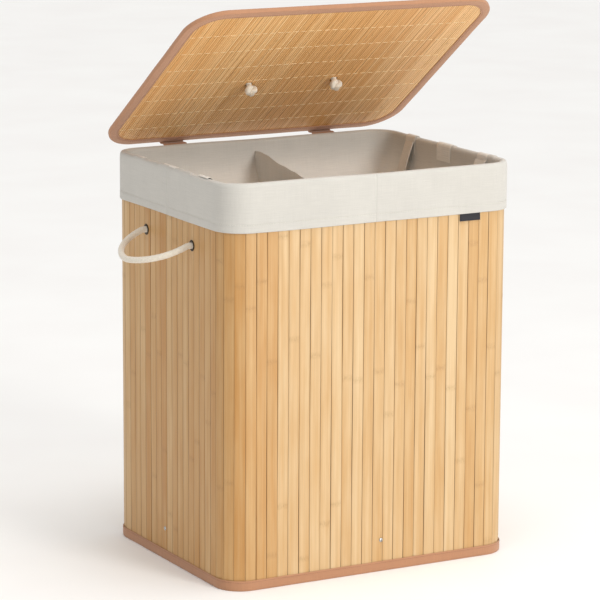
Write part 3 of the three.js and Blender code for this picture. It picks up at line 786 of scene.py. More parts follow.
def wall_panel(node, start, end, count, tone, holes=()):
    rng = np.random.default_rng(sum(map(ord, node)))
    builder = Builder()
    points, _ = body.at(np.linspace(start, end, count + 1))
    for a, b, shade in zip(points[:-1], points[1:], slat_tones(rng, count, tone, 0.26)):
        chord = np.linalg.norm(b - a)
        across = np.append((b - a) / chord, 0)
        origin = np.append((a + b) / 2, WALL_BOTTOM)
        axes = (across, (across[1], -across[0], 0), (0, 0, 1))
        slat(builder, origin, axes, WALL_TOP - WALL_BOTTOM, chord - rng.uniform(0.3, 0.55), 2.0,
             rng, shade)
    piece = builder.build(node + "_bamboo", slat_look)
    if holes:
        drilled(piece, holes)
    place(piece, "hamper_body", "bamboo_slats", node)


SCREW_Z = np.mean(node_box("screw_front"), axis=0)[2]
SCREW_SIDE = 15.0               # screws stand this far to one side of each wall's middle
SCREW_HEAD, SCREW_DOME, SCREW_SHANK, SCREW_LENGTH = 3.2, 1.6, 1.5, 14.7
EYELET_HOLE, DRILL_REACH = 6.1, 12


def screw_places():
    return {
        "front": ((SCREW_SIDE, MIDDLE_Y - DEPTH / 2, SCREW_Z), (0, -1, 0)),
        "back": ((-SCREW_SIDE, MIDDLE_Y + DEPTH / 2, SCREW_Z), (0, 1, 0)),
        "left": ((-WIDTH / 2, MIDDLE_Y + SCREW_SIDE, SCREW_Z), (-1, 0, 0)),
        "right": ((WIDTH / 2, MIDDLE_Y - SCREW_SIDE, SCREW_Z), (1, 0, 0)),
    }


def eyelet_places(sx):
    return {end: ((sx * WIDTH / 2, MIDDLE_Y + sy * EYELET_Y, EYELET_Z), (sx, 0, 0))
            for end, sy in ENDS}


def add_wall():
    front, side = SLAT * FRONT_SLATS / 2, SLAT * SIDE_SLATS / 2
    drills = {name: [(at, out, SCREW_SHANK + 0.1, DRILL_REACH)]
              for name, (at, out) in screw_places().items()}
    for name, sx in SIDES:
        for at, out in eyelet_places(sx).values():
            drills[name].append((at, out, EYELET_HOLE, DRILL_REACH))
    right, back, left = SIDE_MIDDLE, BACK_MIDDLE, body.length - SIDE_MIDDLE
    # painted shade: each panel's middle tone follows how it faces the light, not chance: front and
    # back paler, the side walls deeper, the left wall and its front corner deepest, for the darker,
    # more saturated look of the sides in shade
    wall_panel("front_slats", -front, front, FRONT_SLATS, 0.35, drills["front"])
    wall_panel("right_slats", right - side, right + side, SIDE_SLATS, 0.0, drills["right"])
    wall_panel("back_slats", back - front, back + front, FRONT_SLATS, 0.3, drills["back"])
    wall_panel("left_slats", left - side, left + side, SIDE_SLATS, -0.35, drills["left"])
    wall_panel("corner_slats_front_right", front, right - side, CORNER_SLATS, 0.2)
    wall_panel("corner_slats_back_right", right + side, back - front, CORNER_SLATS, 0.1)
    wall_panel("corner_slats_back_left", back + front, left - side, CORNER_SLATS, 0.0)
    wall_panel("corner_slats_front_left", left + side, body.length - front, CORNER_SLATS, -0.3)


add_wall()


# ---------------------------------------------------------------- metal
LATHE_STEPS = 48
WALL_EYELET = ((5.4, 0.5), (5.6, 0.95), (6.2, 1.2), (7.1, 1.15), (7.9, 0.85), (8.4, 0.4),
               (8.3, 0.28), (6.0, 0.28), (6.0, -4.3), (8.2, -4.3), (8.4, -4.6), (7.6, -5.05),
               (6.5, -5.2), (5.7, -5.05), (5.4, -4.6), (5.4, -2))
LID_EYELET = ((5.0, 0.45), (5.2, 0.8), (5.8, 0.98), (6.8, 0.95), (7.7, 0.7), (8.4, 0.25),
              (8.3, 0.02), (5.2, 0.02))


def closed_run(profile):
    return path_run(np.vstack([profile, profile[:1]]))


def eyelet(node, profile, centre, direction, rides_on):
    """A ring with a closed profile of (radius, height), turned round a line."""
    profile = np.array(profile, float)
    angle = np.linspace(0, 2 * math.pi, LATHE_STEPS, endpoint=False)
    radius, height = profile.T
    local = np.stack([np.outer(np.cos(angle), radius), np.outer(np.sin(angle), radius),
                      np.broadcast_to(height, (LATHE_STEPS, len(height)))], -1)
    uv = uv_grid(closed_run(profile), np.linspace(0, 2 * math.pi * radius.max(), LATHE_STEPS + 1))
    builder = Builder()
    builder.grid(local @ np.array(facing(direction)).T + centre, uv, across=True, along=True)
    builder.piece(node + "_ring", eyelet_metal, rides_on, "eyelet_metal", node)


def add_eyelets():
    """Rolled rings through the wall, with a washer curled over behind it."""
    for side, sx in SIDES:
        for end, (at, out) in eyelet_places(sx).items():
            eyelet(f"eyelet_{side}_{end}", WALL_EYELET, at, out, "hamper_body")


def add_screws():
    """Domed screws with a cross recess."""
    steps = 64
    angle = np.linspace(0, 2 * math.pi, steps, endpoint=False)
    radii = np.linspace(0.04, SCREW_HEAD, 26)
    x, y = np.outer(radii, np.cos(angle)), np.outer(radii, np.sin(angle))
    dome = 0.35 + SCREW_DOME * np.sqrt(np.clip(1 - (radii / SCREW_HEAD) ** 2, 0, 1))[:, None]
    arms = [(1 - smoothstep(np.abs(a), 0.35, 0.55)) * (1 - smoothstep(np.abs(b), 1.35, 1.7))
            for a, b in ((x, y), (y, x))]
    head = np.stack([x, y, dome - np.maximum(*arms)], -1)
    below = [(SCREW_HEAD, 0.3), (SCREW_SHANK, 0.3), (SCREW_SHANK, 1.5 - SCREW_LENGTH),
             (0.1, -SCREW_LENGTH)]
    stem = np.stack([np.stack([r * np.cos(angle), r * np.sin(angle), np.full(steps, h)], -1)
                     for r, h in below])
    local = np.concatenate([head, stem])
    uv = uv_grid(np.linspace(0, 20, steps + 1), path_run(local[:, 0]))
    for side, (at, out) in screw_places().items():
        builder = Builder()
        builder.grid(local @ np.array(facing(out)).T + at, uv, across=True, caps=True)
        node = f"screw_{side}"
        builder.piece(node + "_head", screw_steel, "hamper_body", "steel", node, sharp=30)


add_eyelets()
add_screws()


# ---------------------------------------------------------------- base and hidden parts
def softened(node, look, slot, width):
    """A copy of a sawn or pressed part with its edges taken off."""
    mesh = frame["nodes"][node].data.copy()
    work = bmesh.new()
    work.from_mesh(mesh)
    bmesh.ops.remove_doubles(work, verts=work.verts, dist=1e-6)
    bmesh.ops.dissolve_limit(work, angle_limit=0.01, verts=work.verts, edges=work.edges)
    work.to_mesh(mesh)
    work.free()
    mesh.materials.clear()
    mesh.materials.append(look)
    piece = linked(node + "_part", mesh)
    applied(piece, ("BEVEL", {"width": width * MM, "segments": 3, "limit_method": "ANGLE",
                              "angle_limit": math.radians(40), "use_clamp_overlap": True}))
    finish_mesh(piece.data, 35)
    place(piece, "hamper_body", slot, node)


def dress(node, look):
    """Gives a CAD part that stays its finish."""
    slots = frame["nodes"][node].data.materials
    slots.clear()
    slots.append(look)


for rail in ("front", "back", "left", "right"):
    softened(f"base_rail_{rail}", rail_wood, "rail_wood", 0.9)
softened("base_board", board_look, "board", 0.8)
dress("mat_backing", backing_look)
dress("rim_hoop", hoop_steel)
for side_name, _ in SIDES:
    dress(f"hook_pad_{side_name}", hook_dark)


# ---------------------------------------------------------------- bound edges
FINE_STITCH = {"length": 2.7, "gap": 0.9, "radius": 0.3}
LINEN_STITCH = {"length": 2.8, "gap": 1.1}


def ring_of(builder, outline, profile, places_round, wobble=0.0):
    """A closed profile of (offset, height) carried round an outline, with a wobble outwards."""
    profile = np.array(profile, float)
    shape = (len(places_round), len(profile))
    offset = np.broadcast_to(profile[:, 0], shape) + np.reshape(wobble, (-1, 1))
    flat, _ = outline.at(np.broadcast_to(places_round[:, None], shape), offset)
    points = np.concatenate([flat, np.broadcast_to(profile[:, 1], shape)[..., None]], -1)
    ends = np.append(places_round, places_round[0] + outline.length)
    builder.grid(points, uv_grid(closed_run(profile), ends), across=True, along=True)


def stitch_ring(builder, outline, offset, height, normal_out, normal_up, **sizes):
    s = np.linspace(0, outline.length, int(outline.length / 4) + 1)
    flat, out = outline.at(s, offset)
    path = np.column_stack([flat, np.full(len(s), height)])
    normals = np.column_stack([out * normal_out, np.full(len(s), normal_up)])
    stitches(builder, path, normals, **sizes)


def add_bindings():
    rng = np.random.default_rng(5)
    s = np.linspace(0, body.length, 460, endpoint=False)
    pucker = 0.1 * np.sin(2 * math.pi * s / body.length * 150)
    pucker += 0.12 * ripples(s, 0, rng, 6, (5, 30), (0, 1), body.length)
    top = FOOT_TOP
    foot = [(0.35, top - 0.6), (0.6, top - 0.1), (1.1, top), (1.5, top - 0.7), (1.4, top - 3.4),
            (1.45, 9), (1.5, 4), (1.25, 1.5), (0.5, 0.25), (-0.8, 0.0), (-3.4, 0.0), (-4.7, 0.2),
            (-5.4, 1.2), (-5.5, 4), (-5.5, top - 0.8), (-5.1, top), (-4.5, top - 0.2),
            (-4.35, 1.4), (0.3, 1.4)]
    builder = Builder()
    ring_of(builder, body, foot, s, pucker)
    builder.piece("foot_binding_cloth", binding_cloth, "hamper_body", "binding_cloth",
                  "foot_binding")
    builder = Builder()
    for offset, way in ((1.5, 1), (-5.6, -1)):
        stitch_ring(builder, body, offset, top - 2.6, way, 0, **FINE_STITCH)
    builder.piece("foot_binding_stitches", brown_thread, "hamper_body", "binding_cloth")
    low, high = (corner[2] for corner in node_box("rim_binding"))
    rim = [(0.35, low + 0.5), (0.6, low), (1.0, low + 0.2), (1.2, low + 1.2), (1.2, high - 1.5),
           (0.4, high - 0.2), (-1.5, high), (-4, high), (-6.0, high - 0.4), (-6.7, high - 2),
           (-6.7, low + 0.8), (-6.2, low), (-5.85, low + 0.5), (-5.8, high - 1.3),
           (0.3, high - 1.3)]
    builder = Builder()
    ring_of(builder, body, rim, s)
    builder.piece("rim_binding_cloth", binding_cloth, "hamper_body", "binding_cloth",
                  "rim_binding")


add_bindings()


# ---------------------------------------------------------------- liner
INSIDE_OFFSET = -8.6            # inner face of the cuff
BAG_OFFSET = -22.6              # inner face of the bag
# height below the rim and offset, where the liner falls away from the wall
BAG_FALL = ((95, BAG_OFFSET), (70, -16.2), (42, -8.9), (8, INSIDE_OFFSET))
HEM = 12.0                      # depth of the cuff's hem
# the cuff's folded lower edge: offset, and height above the edge
CUFF_HEM = ((1.75, 3.0), (1.8, 1.1), (2.2, 0.2), (2.7, 0.1), (3.05, 0.8), (3.1, 3.0), (3.1, 7.5),
            (3.05, HEM - 1.2), (2.7, HEM - 0.3), (2.65, HEM + 0.2), (2.85, HEM + 1),
            (2.95, HEM + 3))
# the cuff's turn over the rim: offset, and height from the rim
RIM_TURN = ((2.75, -6), (1.9, -2.3), (0.4, -0.6), (-2.0, 0), (-4.4, -0.1), (-6.6, -1.2),
            (-8.1, -3.8))
FLOOR_ROWS = (0.9, 0.78, 0.64, 0.5, 0.36, 0.22, 0.1, 0.02)
LINER_THICK = 1.0
# spans along each short side, from its middle towards the back
STRAP_ENDS = {"front": (-124, -96), "back": (86, 114)}
TAB_SPAN = (-20, 20)
BUMPS = {"left": [(86, 114), (2, 28), (-69, -21)], "right": [(86, 114), (-25, 16), (-138, -110)]}
SIDE_SEAMS = (SIDE_MIDDLE, body.length - SIDE_MIDDLE)
SEAMS = (0, BACK_MIDDLE, *SIDE_SEAMS)


def side_place(side, y):
    """Distance round the body of a place y on a short side."""
    return SIDE_MIDDLE + y if side == "right" else body.length - SIDE_MIDDLE - y


def gap_to(places, seams):
    """Distance round the body to the nearest of some seams."""
    half = body.length / 2
    return np.min([np.abs((places - seam + half) % body.length - half) for seam in seams], axis=0)


def bag_offset(z):
    """Inner face of the liner: sewn in at the rim, then falling clear of the wall."""
    below, offset = np.array(BAG_FALL).T
    return np.interp(z, RIM - below, offset)


def liner_columns():
    """Places round the body, closer together at seams and at folded strap ends."""
    extra = [seam + step for seam in SEAMS for step in (-5, -2.5, -1.2, -0.5, 0, 0.5, 1.2, 2.5, 5)]
    for side, spans in BUMPS.items():
        ends = [side_place(side, y) for span in spans for y in span]
        extra += [end + step for end in ends for step in (-2, -1, 0, 1, 2)]
    s = np.concatenate([np.arange(0, body.length, 5), extra])
    s = np.unique(np.round(np.mod(s, body.length), 2))
    return s[np.append(np.diff(s) > 0.3, True)]


def rim_bumps(s):
    """How far the rim is lifted by the strap ends folded under the cuff."""
    total = np.zeros(len(s))
    for side, spans in BUMPS.items():
        for span in spans:
            low, high = sorted(side_place(side, y) for y in span)
            rise = smoothstep(s, low - 1.6, low + 1.2)
            total += rise * (1 - smoothstep(s, high - 1.2, high + 1.6))
    return total


def liner_profile():
    """The liner's section as (offset, height), from the hem over the rim to the floor's edge."""
    hem_top = CUFF_BOTTOM + HEM
    outer = [(offset, CUFF_BOTTOM + z) for offset, z in CUFF_HEM]
    outer += [(CUFF_PROUD - 0.05, z) for z in np.linspace(hem_top + 8, RIM - 12, 6)]
    turn = [(offset, RIM + z) for offset, z in RIM_TURN]
    falling = RIM - np.array([8, 16, 25, 34, 42, 51, 60, 70, 79, 88, 95])
    inner = list(zip(bag_offset(falling), falling))
    inner += [(BAG_OFFSET, z) for z in np.linspace(RIM - 110, BAG_FLOOR + 12, 24)]
    inner += [(BAG_OFFSET - 0.6, BAG_FLOOR + 5), (BAG_OFFSET - 2.4, BAG_FLOOR + 2.2),
              (BAG_OFFSET - 6, BAG_FLOOR + 1.3)]
    return np.array(outer + turn + inner), len(outer) + 4


def bag_floor_rows(edge):
    """The bag's floor as rows that shrink towards its middle, with a slight crumple."""
    centre = np.array([0, MIDDLE_Y, 0])
    rows = []
    for share in FLOOR_ROWS:
        row = centre + (edge - centre) * (share, share, 0)
        crumple = 0.5 + 0.5 * np.sin(row[:, 0] / 23 + row[:, 1] / 31)
        row[:, 2] = BAG_FLOOR + 1.3 + crumple * 1.6 * (1 - share)
        rows.append(row)
    return np.array(rows)


def bag_inward(places, z, rng):
    """How far the bag's cloth stands in from its sewn line: folds, creases and pulled seams."""
    folds = ripples(places, z, rng, 9, (2, 13), (-0.012, 0.012), body.length)
    creases = ripples(places, z, rng, 7, (10, 34), (-0.03, 0.03), body.length)
    not_at_divider = np.abs(np.mod(places + 300, body.length / 2) - 300) > 60
    pulled = np.exp(-((gap_to(places, SEAMS) + 400 * not_at_divider) / 26) ** 2)
    inward = np.clip(2.4 + 2.6 * folds + 0.9 * creases, 0, 8)
    inward += 2.5 * pulled * smoothstep(-z, -570, -480)
    by_strap = (1 - smoothstep(gap_to(places, SIDE_SEAMS), 125, 150)) * smoothstep(z, 420, 470)
    return inward * (1 - 0.8 * by_strap) * smoothstep(-z, -588, -500)


def add_liner():
    rng = np.random.default_rng(21)
    s = liner_columns()
    profile, first_inside = liner_profile()
    offset, z = (np.repeat(column[:, None], len(s), axis=1) for column in profile.T)
    places = np.broadcast_to(s, z.shape)
    inside = np.zeros(z.shape)
    inside[first_inside:] = 1
    rim_wave = 0.45 * ripples(s, 0, rng, 5, (2, 11), (0, 1), body.length)
    z += smoothstep(z, 575, 597) * (1.3 * rim_bumps(s) + rim_wave)
    hem_wave = 0.35 * ripples(s, 0, rng, 5, (3, 14), (0, 1), body.length)
    z += (1 - inside) * (1 - smoothstep(z, 528, 536)) * hem_wave
    cuff_wave = 0.22 * ripples(places, z, rng, 8, (2, 26), (-0.05, 0.05), body.length)
    seam_gap = gap_to(places, SEAMS)
    seam = 0.25 * np.exp(-((seam_gap - 2.2) / 1.2) ** 2) - 0.45 * np.exp(-(seam_gap / 0.7) ** 2)
    offset += (1 - inside) * (cuff_wave - 0.1 + seam)
    offset -= inside * bag_inward(places, z, rng)
    flat, _ = body.at(places, offset)
    points = np.concatenate([flat, z[..., None]], -1)
    points = np.concatenate([points, bag_floor_rows(points[-1])])
    run = path_run(profile)
    run = np.concatenate([run, run[-1] + np.linspace(15, 200, len(FLOOR_ROWS))])
    uv = uv_grid(np.append(s, s[0] + body.length), run)
    # painted light: from the rim down, the inside of the liner and all of its floor turn to the
    # linen's painted lighter inside colour
    painted_inner_light = np.concatenate([inside * smoothstep(-z, -600, -520), np.ones((len(FLOOR_ROWS), len(s)))])
    builder = Builder()
    builder.grid(points, uv, across=True, inside=painted_inner_light)
    builder.faces.append(list(range(builder.count - len(s), builder.count)))
    builder.uvs.append(uv[-1, :-1])
    piece = builder.build("liner_cloth", linen, 180, closed=False)
    applied(piece, ("SOLIDIFY", {"thickness": LINER_THICK * MM, "offset": -1, "use_rim": True}))
    finish_mesh(piece.data, 180, closed=False)
    place(piece, "hamper_body", "linen", "liner_cuff", "liner_bag", "liner_floor")
    builder = Builder()
    stitch_ring(builder, body, 2.75, CUFF_BOTTOM + HEM, 1, 0, radius=0.26, **LINEN_STITCH)
    builder.piece("liner_hem_stitches", linen_thread, "hamper_body", "linen")


DIVIDER_LOW = 561.0             # where the divider's top edge sags to
DIVIDER_HEM = 14.0
divider_low, divider_high = node_box("liner_divider")
DIVIDER_END = divider_high[2]


def add_divider():
    """The cloth wall between the two bags, sewn in at both ends, with a hemmed sagging edge."""
    rng = np.random.default_rng(8)
    foot = divider_low[2]
    reach = divider_high[1] - MIDDLE_Y
    share = np.sin(np.linspace(-math.pi / 2, math.pi / 2, 61))
    up = np.concatenate([np.linspace(0, 0.9, 26), np.linspace(0.92, 1, 14)])
    top = DIVIDER_LOW + (DIVIDER_END - DIVIDER_LOW) * (1 - np.cos(math.pi * share)) / 2
    z = foot + (top - foot)[:, None] * up[None]
    half = DEPTH / 2 + bag_offset(z) + 1.5
    y = share[:, None] * np.minimum(half, reach)
    below = top[:, None] - z
    fade = (1 - np.abs(share[:, None]) ** 3) * smoothstep(z, foot, foot + 60)
    x = fade * (2.4 * ripples(y * 2, z, rng, 6, (1, 5), (-0.015, 0.015), 720)
                + 0.7 * ripples(y * 2, z, rng, 6, (5, 14), (-0.04, 0.04), 720))
    groove = np.exp(-((below - DIVIDER_HEM + 1.2) / 0.7) ** 2)
    thick = 0.45 + 0.4 * (below < DIVIDER_HEM) - 0.3 * groove
    thick[:, -1] = 0.15
    left = np.stack([x - thick, y + MIDDLE_Y, z], -1)
    right = np.stack([x + thick, y + MIDDLE_Y, z], -1)
    points = np.concatenate([left, right[:, ::-1]], 1)
    run = np.concatenate([z, 2 * top[:, None] - z[:, ::-1]], 1)
    run = np.concatenate([run, run[:, -1:] + 1], 1)
    uv = np.stack([run, np.broadcast_to(y[:, :1], run.shape)], -1) * MM
    builder = Builder()
    # painted light: the divider is blended part way to the linen's painted lighter inside colour
    builder.grid(points, uv, across=True, caps=True, inside=0.45)
    piece = builder.piece("liner_divider_cloth", linen, "hamper_body", "linen", "liner_divider",
                          sharp=60)
    builder = Builder()
    hem_x = np.stack([np.interp(DIVIDER_HEM, below[i, ::-1], x[i, ::-1]) for i in range(len(y))])
    for way in (-1.0, 1.0):
        path = np.column_stack([hem_x + way * 0.5, y[:, -1] + MIDDLE_Y, top - DIVIDER_HEM])
        normals = np.tile((way, 0, 0), (len(path), 1))
        stitches(builder, path, normals, radius=0.24, **LINEN_STITCH)
    builder.piece("liner_divider_stitches", linen_thread, "hamper_body", "linen")


def band(builder, path, wide, width, thick, edge, ribs=0.0, **values):
    """A closed strip of cloth along a path; wide says which way its width runs."""
    along, _, _ = path_frames(path)
    wide = np.broadcast_to(np.asarray(wide, float), path.shape)
    flat = unit(np.cross(along, wide))
    u = -np.cos(np.linspace(0, math.pi, 15)) * width / 2
    half = thick / 2 * np.sqrt(np.clip(1 - np.abs(2 * u / width) ** 12, 0.02, 1))
    half = half + edge * np.exp(-((np.abs(u) - width / 2 + 1.4) / 0.9) ** 2)
    run = path_run(path)
    rib = ribs * (0.5 + 0.5 * np.cos(run * 2 * math.pi / 3.2))[:, None]
    front = wide[:, None] * u[:, None] + flat[:, None] * (half[None] + rib)[..., None]
    back = wide[:, None] * u[::-1, None] - flat[:, None] * half[::-1, None]
    points = path[:, None] + np.concatenate([front, back], 1)
    turns = np.concatenate([u, width - u[::-1] + width, [u[0] + 4 * width]])
    builder.grid(points, uv_grid(turns, run), across=True, caps=True, **values)


STRAP_TILT = math.radians(16.5)
STRAP_WIDTH, STRAP_BEND = 28.0, 32.0


def carry_strap(side, sx):
    """A cloth band sewn to the rim at both ends, hanging in a loop inside the short wall."""
    low, high = node_box(f"liner_strap_{side}")
    axis = joint_place(f"bag_strap_{side}_swing")
    drop = (axis[2] - low[2]) / math.cos(STRAP_TILT)
    first, last = low[1] + STRAP_WIDTH / 2, high[1] - STRAP_WIDTH / 2
    bottom = -drop + STRAP_WIDTH / 2
    line = [(first, 0), (first, bottom / 2)]
    for y, step, start in ((first, STRAP_BEND, math.pi), (last, -STRAP_BEND, 1.5 * math.pi)):
        for angle in start + np.linspace(0, math.pi / 2, 9):
            line.append((y + step + STRAP_BEND * math.cos(angle),
                         bottom + STRAP_BEND * (1 + math.sin(angle))))
    line += [(last, bottom / 2), (last, 0)]
    local = smooth_path([(0, y, z) for y, z in line], 4, 1)
    run = path_run(local)
    local[:, 0] = -sx * (0.8 + 0.8 * np.sin(run / 37) + 0.5 * np.sin(run / 13))
    along, _, _ = path_frames(local)
    sway = 0.12 * np.sin(path_run(local) / 45)
    wide = unit(np.cross(along, (1.0, 0, 0)) + np.array([1.0, 0, 0]) * sway[:, None])
    turn = np.array(Matrix.Rotation(sx * STRAP_TILT, 3, "Y"))
    path = local @ turn.T + (axis[0], 0, axis[2])
    builder = Builder()
    # painted light: the strap is blended a little to the tape's painted warmer, darker inside
    # colour
    band(builder, path, wide @ turn.T, STRAP_WIDTH, 1.1, edge=0.55, inside=0.15)
    builder.piece(f"liner_strap_{side}_tape", strap_linen, f"bag_strap_{side}", "linen",
                  f"liner_strap_{side}", sharp=60)


# a tape inside the cuff and over the rim, above its lower end: offset, and height from the rim
TAPE_TURN = ((-9.35, -14), (-9.3, -5), (-8.2, -0.4), (-5.6, 1.4), (-2.4, 1.4), (-0.4, 0.2))


def over_rim(name, sx, span, bottom, look, slot, *replaced, ribs=0.0):
    """A tape sewn inside the cuff that comes up and folds over the rim."""
    y = MIDDLE_Y + sum(span) / 2
    line = [(-9.3, bottom - RIM), *TAPE_TURN]
    path = smooth_path([(sx * (WIDTH / 2 + offset), y, RIM + z) for offset, z in line], 1.6, 2)
    builder = Builder()
    band(builder, path, (0, 1.0, 0), span[1] - span[0], 0.8, edge=0.25, ribs=ribs)
    builder.piece(name, look, "hamper_body", slot, *replaced, sharp=60)


def add_liner_trim():
    for side, sx in SIDES:
        carry_strap(side, sx)
        for end, span in STRAP_ENDS.items():
            over_rim(f"strap_end_{side}_{end}", sx, span, 572, strap_linen, "linen")
        over_rim(f"hook_tab_{side}_tape", sx, TAB_SPAN, 574, hook_white, "hook_tape",
                 f"hook_tab_{side}", ribs=0.3)


def add_tag():
    """A blank folded label, caught in the cuff's hem."""
    low, high = node_box("blank_tag")
    x, y = (low[0] + high[0]) / 2, (low[1] + high[1]) / 2
    line = [(x, y, high[2]), (x, y, 529), (x, y - 0.5, 522), (x, y - 1.0, low[2] + 0.3)]
    builder = Builder()
    band(builder, smooth_path(line, 1.2, 2), (1.0, 0, 0), high[0] - low[0], 0.8, edge=0.1)
    builder.piece("blank_tag_label", tag_cloth, "hamper_body", "tag_cloth", "blank_tag", sharp=60)


add_liner()
add_divider()
add_liner_trim()
add_tag()


# ---------------------------------------------------------------- lid
# Worked out on the closed lid, from its hinge: x, y towards the back, and height w.
LID_HALF, LID_FRONT, LID_BACK, LID_CORNER = 255.5, 402.0, 2.0, 56.0
LID_HIGH, LID_EDGE = 7.2, 15.0  # thickness of the binding, and how far it reaches in
LID_INSET = 1.3
STRIP, STRIP_FACE, STRIP_HOLE = 3.65, 1.35, 5.6
SLAT_FACE = 5.85
THREAD_ROWS = (49.5, 93.5, 139, 186.5, 232, 283.5, 333.5)
hinge_at = joint_place("lid_hinge")
LID_OPEN = math.radians(-joints["lid_hinge"]["range_deg"][0])
lid_outline = Outline(LID_HALF, (LID_FRONT + LID_BACK) / 2, LID_CORNER, (LID_BACK - LID_FRONT) / 2)


def from_lid(points):
    """Places given on the closed lid, from its hinge, as they are with the lid open."""
    x, y, w = np.moveaxis(np.asarray(points, float), -1, 0)
    c, s = math.cos(LID_OPEN), math.sin(LID_OPEN)
    return np.stack([x, hinge_at[1] + y * c + w * s, hinge_at[2] - y * s + w * c], -1)


LID_UP = from_lid((0, 0, 1)) - from_lid((0, 0, 0))


def on_lid(builder):
    builder.points = [from_lid(points) for points in builder.points]
    return builder


def lid_bend(over, inset):
    return math.sqrt(max((LID_CORNER - inset) ** 2 - max(over, 0) ** 2, 0))


def lid_reach(x, inset):
    """Front and back ends of the lid's plan at a distance x from its middle."""
    half = lid_outline.inner[1] + lid_bend(abs(x) - lid_outline.inner[0], inset)
    return lid_outline.middle_y - half, lid_outline.middle_y + half


def lid_row_half(y, inset):
    """Half the lid's width at a distance y from its hinge."""
    over = abs(y - lid_outline.middle_y) - lid_outline.inner[1]
    return lid_outline.inner[0] + lid_bend(over, inset)


def add_lid_strips():
    rng = np.random.default_rng(3)
    count = int(2 * (LID_HALF - LID_INSET) / STRIP)
    builder = Builder()
    axes = ((1, 0, 0), (0, 0, -1), (0, 1, 0))
    for i, tone in enumerate(slat_tones(rng, count, 0.0, 0.5)):
        x = (i - (count - 1) / 2) * STRIP
        front, back = lid_reach(abs(x) + STRIP / 2, LID_INSET)
        parts = [(front, back)]
        if abs(abs(x) - LID_HANDLE["half"]) < STRIP_HOLE + STRIP / 2 - 0.4:
            parts = [(front, LID_HANDLE["y"] - STRIP_HOLE), (LID_HANDLE["y"] + STRIP_HOLE, back)]
        width = STRIP - rng.uniform(0.15, 0.35)
        for start, end in parts:
            slat(builder, np.array([x, start, STRIP_FACE]), axes, end - start, width, 1.9, rng,
                 tone, crown=0.1, rounding=0.4, internode=(150, 420), section=4)
    on_lid(builder).piece("lid_strip_mat_bamboo", strip_look, "lid", "bamboo_strips",
                          "lid_strip_mat")


def add_lid_slats():
    rng = np.random.default_rng(12)
    edges = [SLAT * (i + 0.5) for i in range(-14, 14)]
    edges = [-LID_HALF + LID_INSET, *edges, LID_HALF - LID_INSET]
    tones = slat_tones(rng, len(edges) - 1, 0.2, 0.4)
    builder = Builder()
    axes = ((-1, 0, 0), (0, 0, 1), (0, 1, 0))
    for low, high, tone in zip(edges[:-1], edges[1:], tones):
        front, back = lid_reach(max(abs(low), abs(high)), LID_INSET)
        slat(builder, np.array([(low + high) / 2, front, SLAT_FACE]), axes, back - front,
             high - low - 0.6, 2.2, rng, tone)
    piece = on_lid(builder).build("lid_slats_bamboo", slat_look)
    holes = [from_lid((sx * LID_HANDLE["half"], LID_HANDLE["y"], 5)) for sx in (-1, 1)]
    drilled(piece, [(hole, LID_UP, 5.3, 6) for hole in holes])
    place(piece, "lid", "bamboo_slats", "lid_slats")


def add_lid_threads():
    """Rows of thread that hold the strips: long stitches below, short ones on top."""
    builder = Builder()
    for i, row in enumerate(THREAD_ROWS):
        half = lid_row_half(-row, LID_EDGE + 1.5)
        x = np.arange(-half, half, 3.0)
        y = -row + 0.5 * np.sin(x / 60 + i)
        shift = 3.1 * i % 9
        rows = ((-1.0, 1.15, 10.2, 2.8, 0.52, shift), (1.0, 5.95, 3.0, 10.0, 0.45, shift + 10.1))
        for way, height, length, gap, radius, start in rows:
            path = np.column_stack([x, y, np.full(len(x), height)])
            normals = np.tile((0, 0, way), (len(x), 1))
            stitches(builder, path, normals, length, gap, radius, 0.5, start)
    on_lid(builder).piece("lid_threads", cream_thread, "lid", "bamboo_strips")


def add_lid_binding():
    rng = np.random.default_rng(30)
    s = np.linspace(0, lid_outline.length, 520, endpoint=False)
    wobble = 0.1 * np.sin(2 * math.pi * s / lid_outline.length * 170)
    wobble += 0.15 * ripples(s, 0, rng, 6, (4, 30), (0, 1), lid_outline.length)
    inner, high = -LID_EDGE, LID_HIGH
    hem = [(0.3, 1.2), (0.0, 0.7), (0.4, 0.2), (1.8, 0.05), (2.6, 0.2), (3.4, 0.0)]
    profile = [(inner + x, w) for x, w in hem[:-1]]
    profile += [(inner + 3.4, 0.02), (-8, 0.0), (-3, 0.0), (-1.0, 0.35), (-0.2, 1.4), (0.0, 3.0),
                (0.0, 4.4), (-0.2, 5.9), (-1.0, 6.85), (-3, high), (-8, high)]
    profile += [(inner + x, high - w) for x, w in hem[::-1]]
    profile += [(-2.4, high - 1.1), (-1.2, high - 1.7), (-1.2, 1.7), (-2.4, 1.1)]
    builder = Builder()
    ring_of(builder, lid_outline, profile, s, wobble)
    on_lid(builder).piece("lid_binding_cloth", binding_cloth, "lid", "binding_cloth",
                          "lid_binding")
    builder = Builder()
    for height, way in ((0.1, -1), (high - 0.1, 1)):
        stitch_ring(builder, lid_outline, inner + 2.6, height, 0, way, **FINE_STITCH)
    on_lid(builder).piece("lid_binding_stitches", brown_thread, "lid", "binding_cloth")


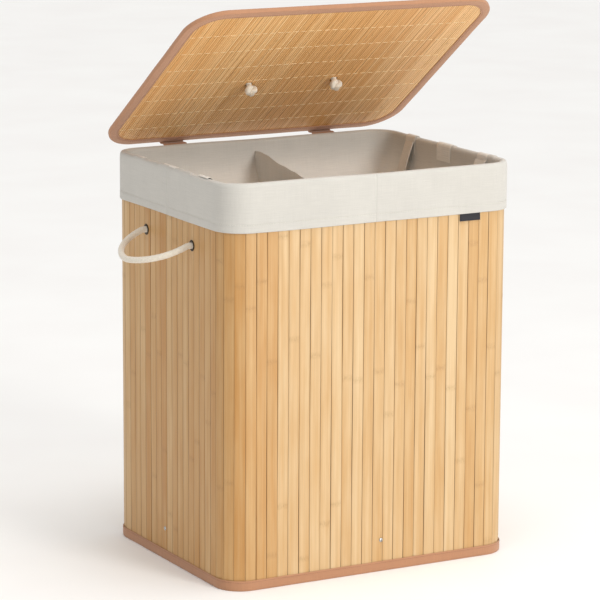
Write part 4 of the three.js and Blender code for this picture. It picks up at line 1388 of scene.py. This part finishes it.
def add_lid_handle():
    half, y0, stand = LID_HANDLE["half"], LID_HANDLE["y"], LID_HANDLE["stand"]
    lift = math.radians(LID_HANDLE["lift"])
    out, across = loop_line(half, LID_HANDLE["reach"])
    loop = np.stack([across, y0 + out * math.cos(lift), stand + out * math.sin(lift)], 1)
    legs = [[(sx * half, y0, 2.0), (sx * half, y0, stand - 3)] for sx in (1, -1)]
    path = smooth_path(from_lid(np.vstack([legs[0], loop[1:-1], legs[1][::-1]])), 1.3, 2)
    rope_loop(path, "lid_rope_handle")
    for side, sx in SIDES:
        eyelet(f"lid_eyelet_{side}", LID_EYELET, from_lid((sx * half, y0, 6.15)), LID_UP, "lid")
        rope_knot(f"lid_knot_{side}", from_lid((sx * half, y0, -9.0)), LID_UP, 10.4, 4.2, "lid",
                  12.5, 9.0)


HINGE_X, HINGE_HALF = 130.0, 20.0
# a hinge strap's line, back from the body's middle and up: on the wall, then round the lid's edge
STRAP_ON_WALL = ((192.0, 508), (192.4, 514), (193.7, 524), (193.9, 560), (193.9, 588))
STRAP_ROUND = ((195.0, 597.5), (202, 600.3), (209.5, 598.8), (214.0, 602.5), (213.6, 608.6))


def box_stitch(builder, corners):
    """A stitched square with its two diagonals, between four corners of a flat patch."""
    a, b, c, d = (np.array(p, float) for p in corners)
    normals = np.tile(unit(np.cross(b - a, d - a)), (12, 1))
    for start, end in ((a, b), (b, c), (c, d), (d, a), (a, c), (b, d)):
        stitches(builder, np.linspace(start, end, 12), normals, 2.6, 1.0, 0.32)


def add_hinge_straps():
    """Cloth straps from the back wall, round the lid's back edge and on to its top."""
    foot = node_box("hinge_strap_left")[0][2]
    tab = [from_lid((0, y, 8.1))[1:] - (MIDDLE_Y, 0) for y in (-2, -14, -28, -44)]
    line = [(192.0, foot), *STRAP_ON_WALL, *STRAP_ROUND, *tab]
    for side, sx in SIDES:
        x = sx * HINGE_X
        path = smooth_path([(x, MIDDLE_Y + y, z) for y, z in line], 2.0, 2)
        builder = Builder()
        band(builder, path, (1.0, 0, 0), 2 * HINGE_HALF, 1.2, edge=0.12)
        piece = builder.build(f"hinge_strap_{side}_cloth", binding_cloth, 60)
        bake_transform(piece)
        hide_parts(f"hinge_strap_{side}", f"lid_hinge_tab_{side}")
        x0, x1 = x - 16, x + 16
        y, low, high = MIDDLE_Y + 192.7, foot + 5, foot + 33
        builder = Builder()
        box_stitch(builder, [(x0, y, low), (x0, y, high), (x1, y, high), (x1, y, low)])
        builder.piece(f"hinge_strap_{side}_stitches", brown_thread, "hamper_body", "binding_cloth")
        builder = Builder()
        box_stitch(builder, [(x0, -40, 8.8), (x1, -40, 8.8), (x1, -14, 8.8), (x0, -14, 8.8)])
        on_lid(builder).piece(f"lid_hinge_tab_{side}_stitches", brown_thread, "lid",
                              "binding_cloth")


add_lid_strips()
add_lid_slats()
add_lid_threads()
add_lid_binding()
add_lid_handle()
add_hinge_straps()
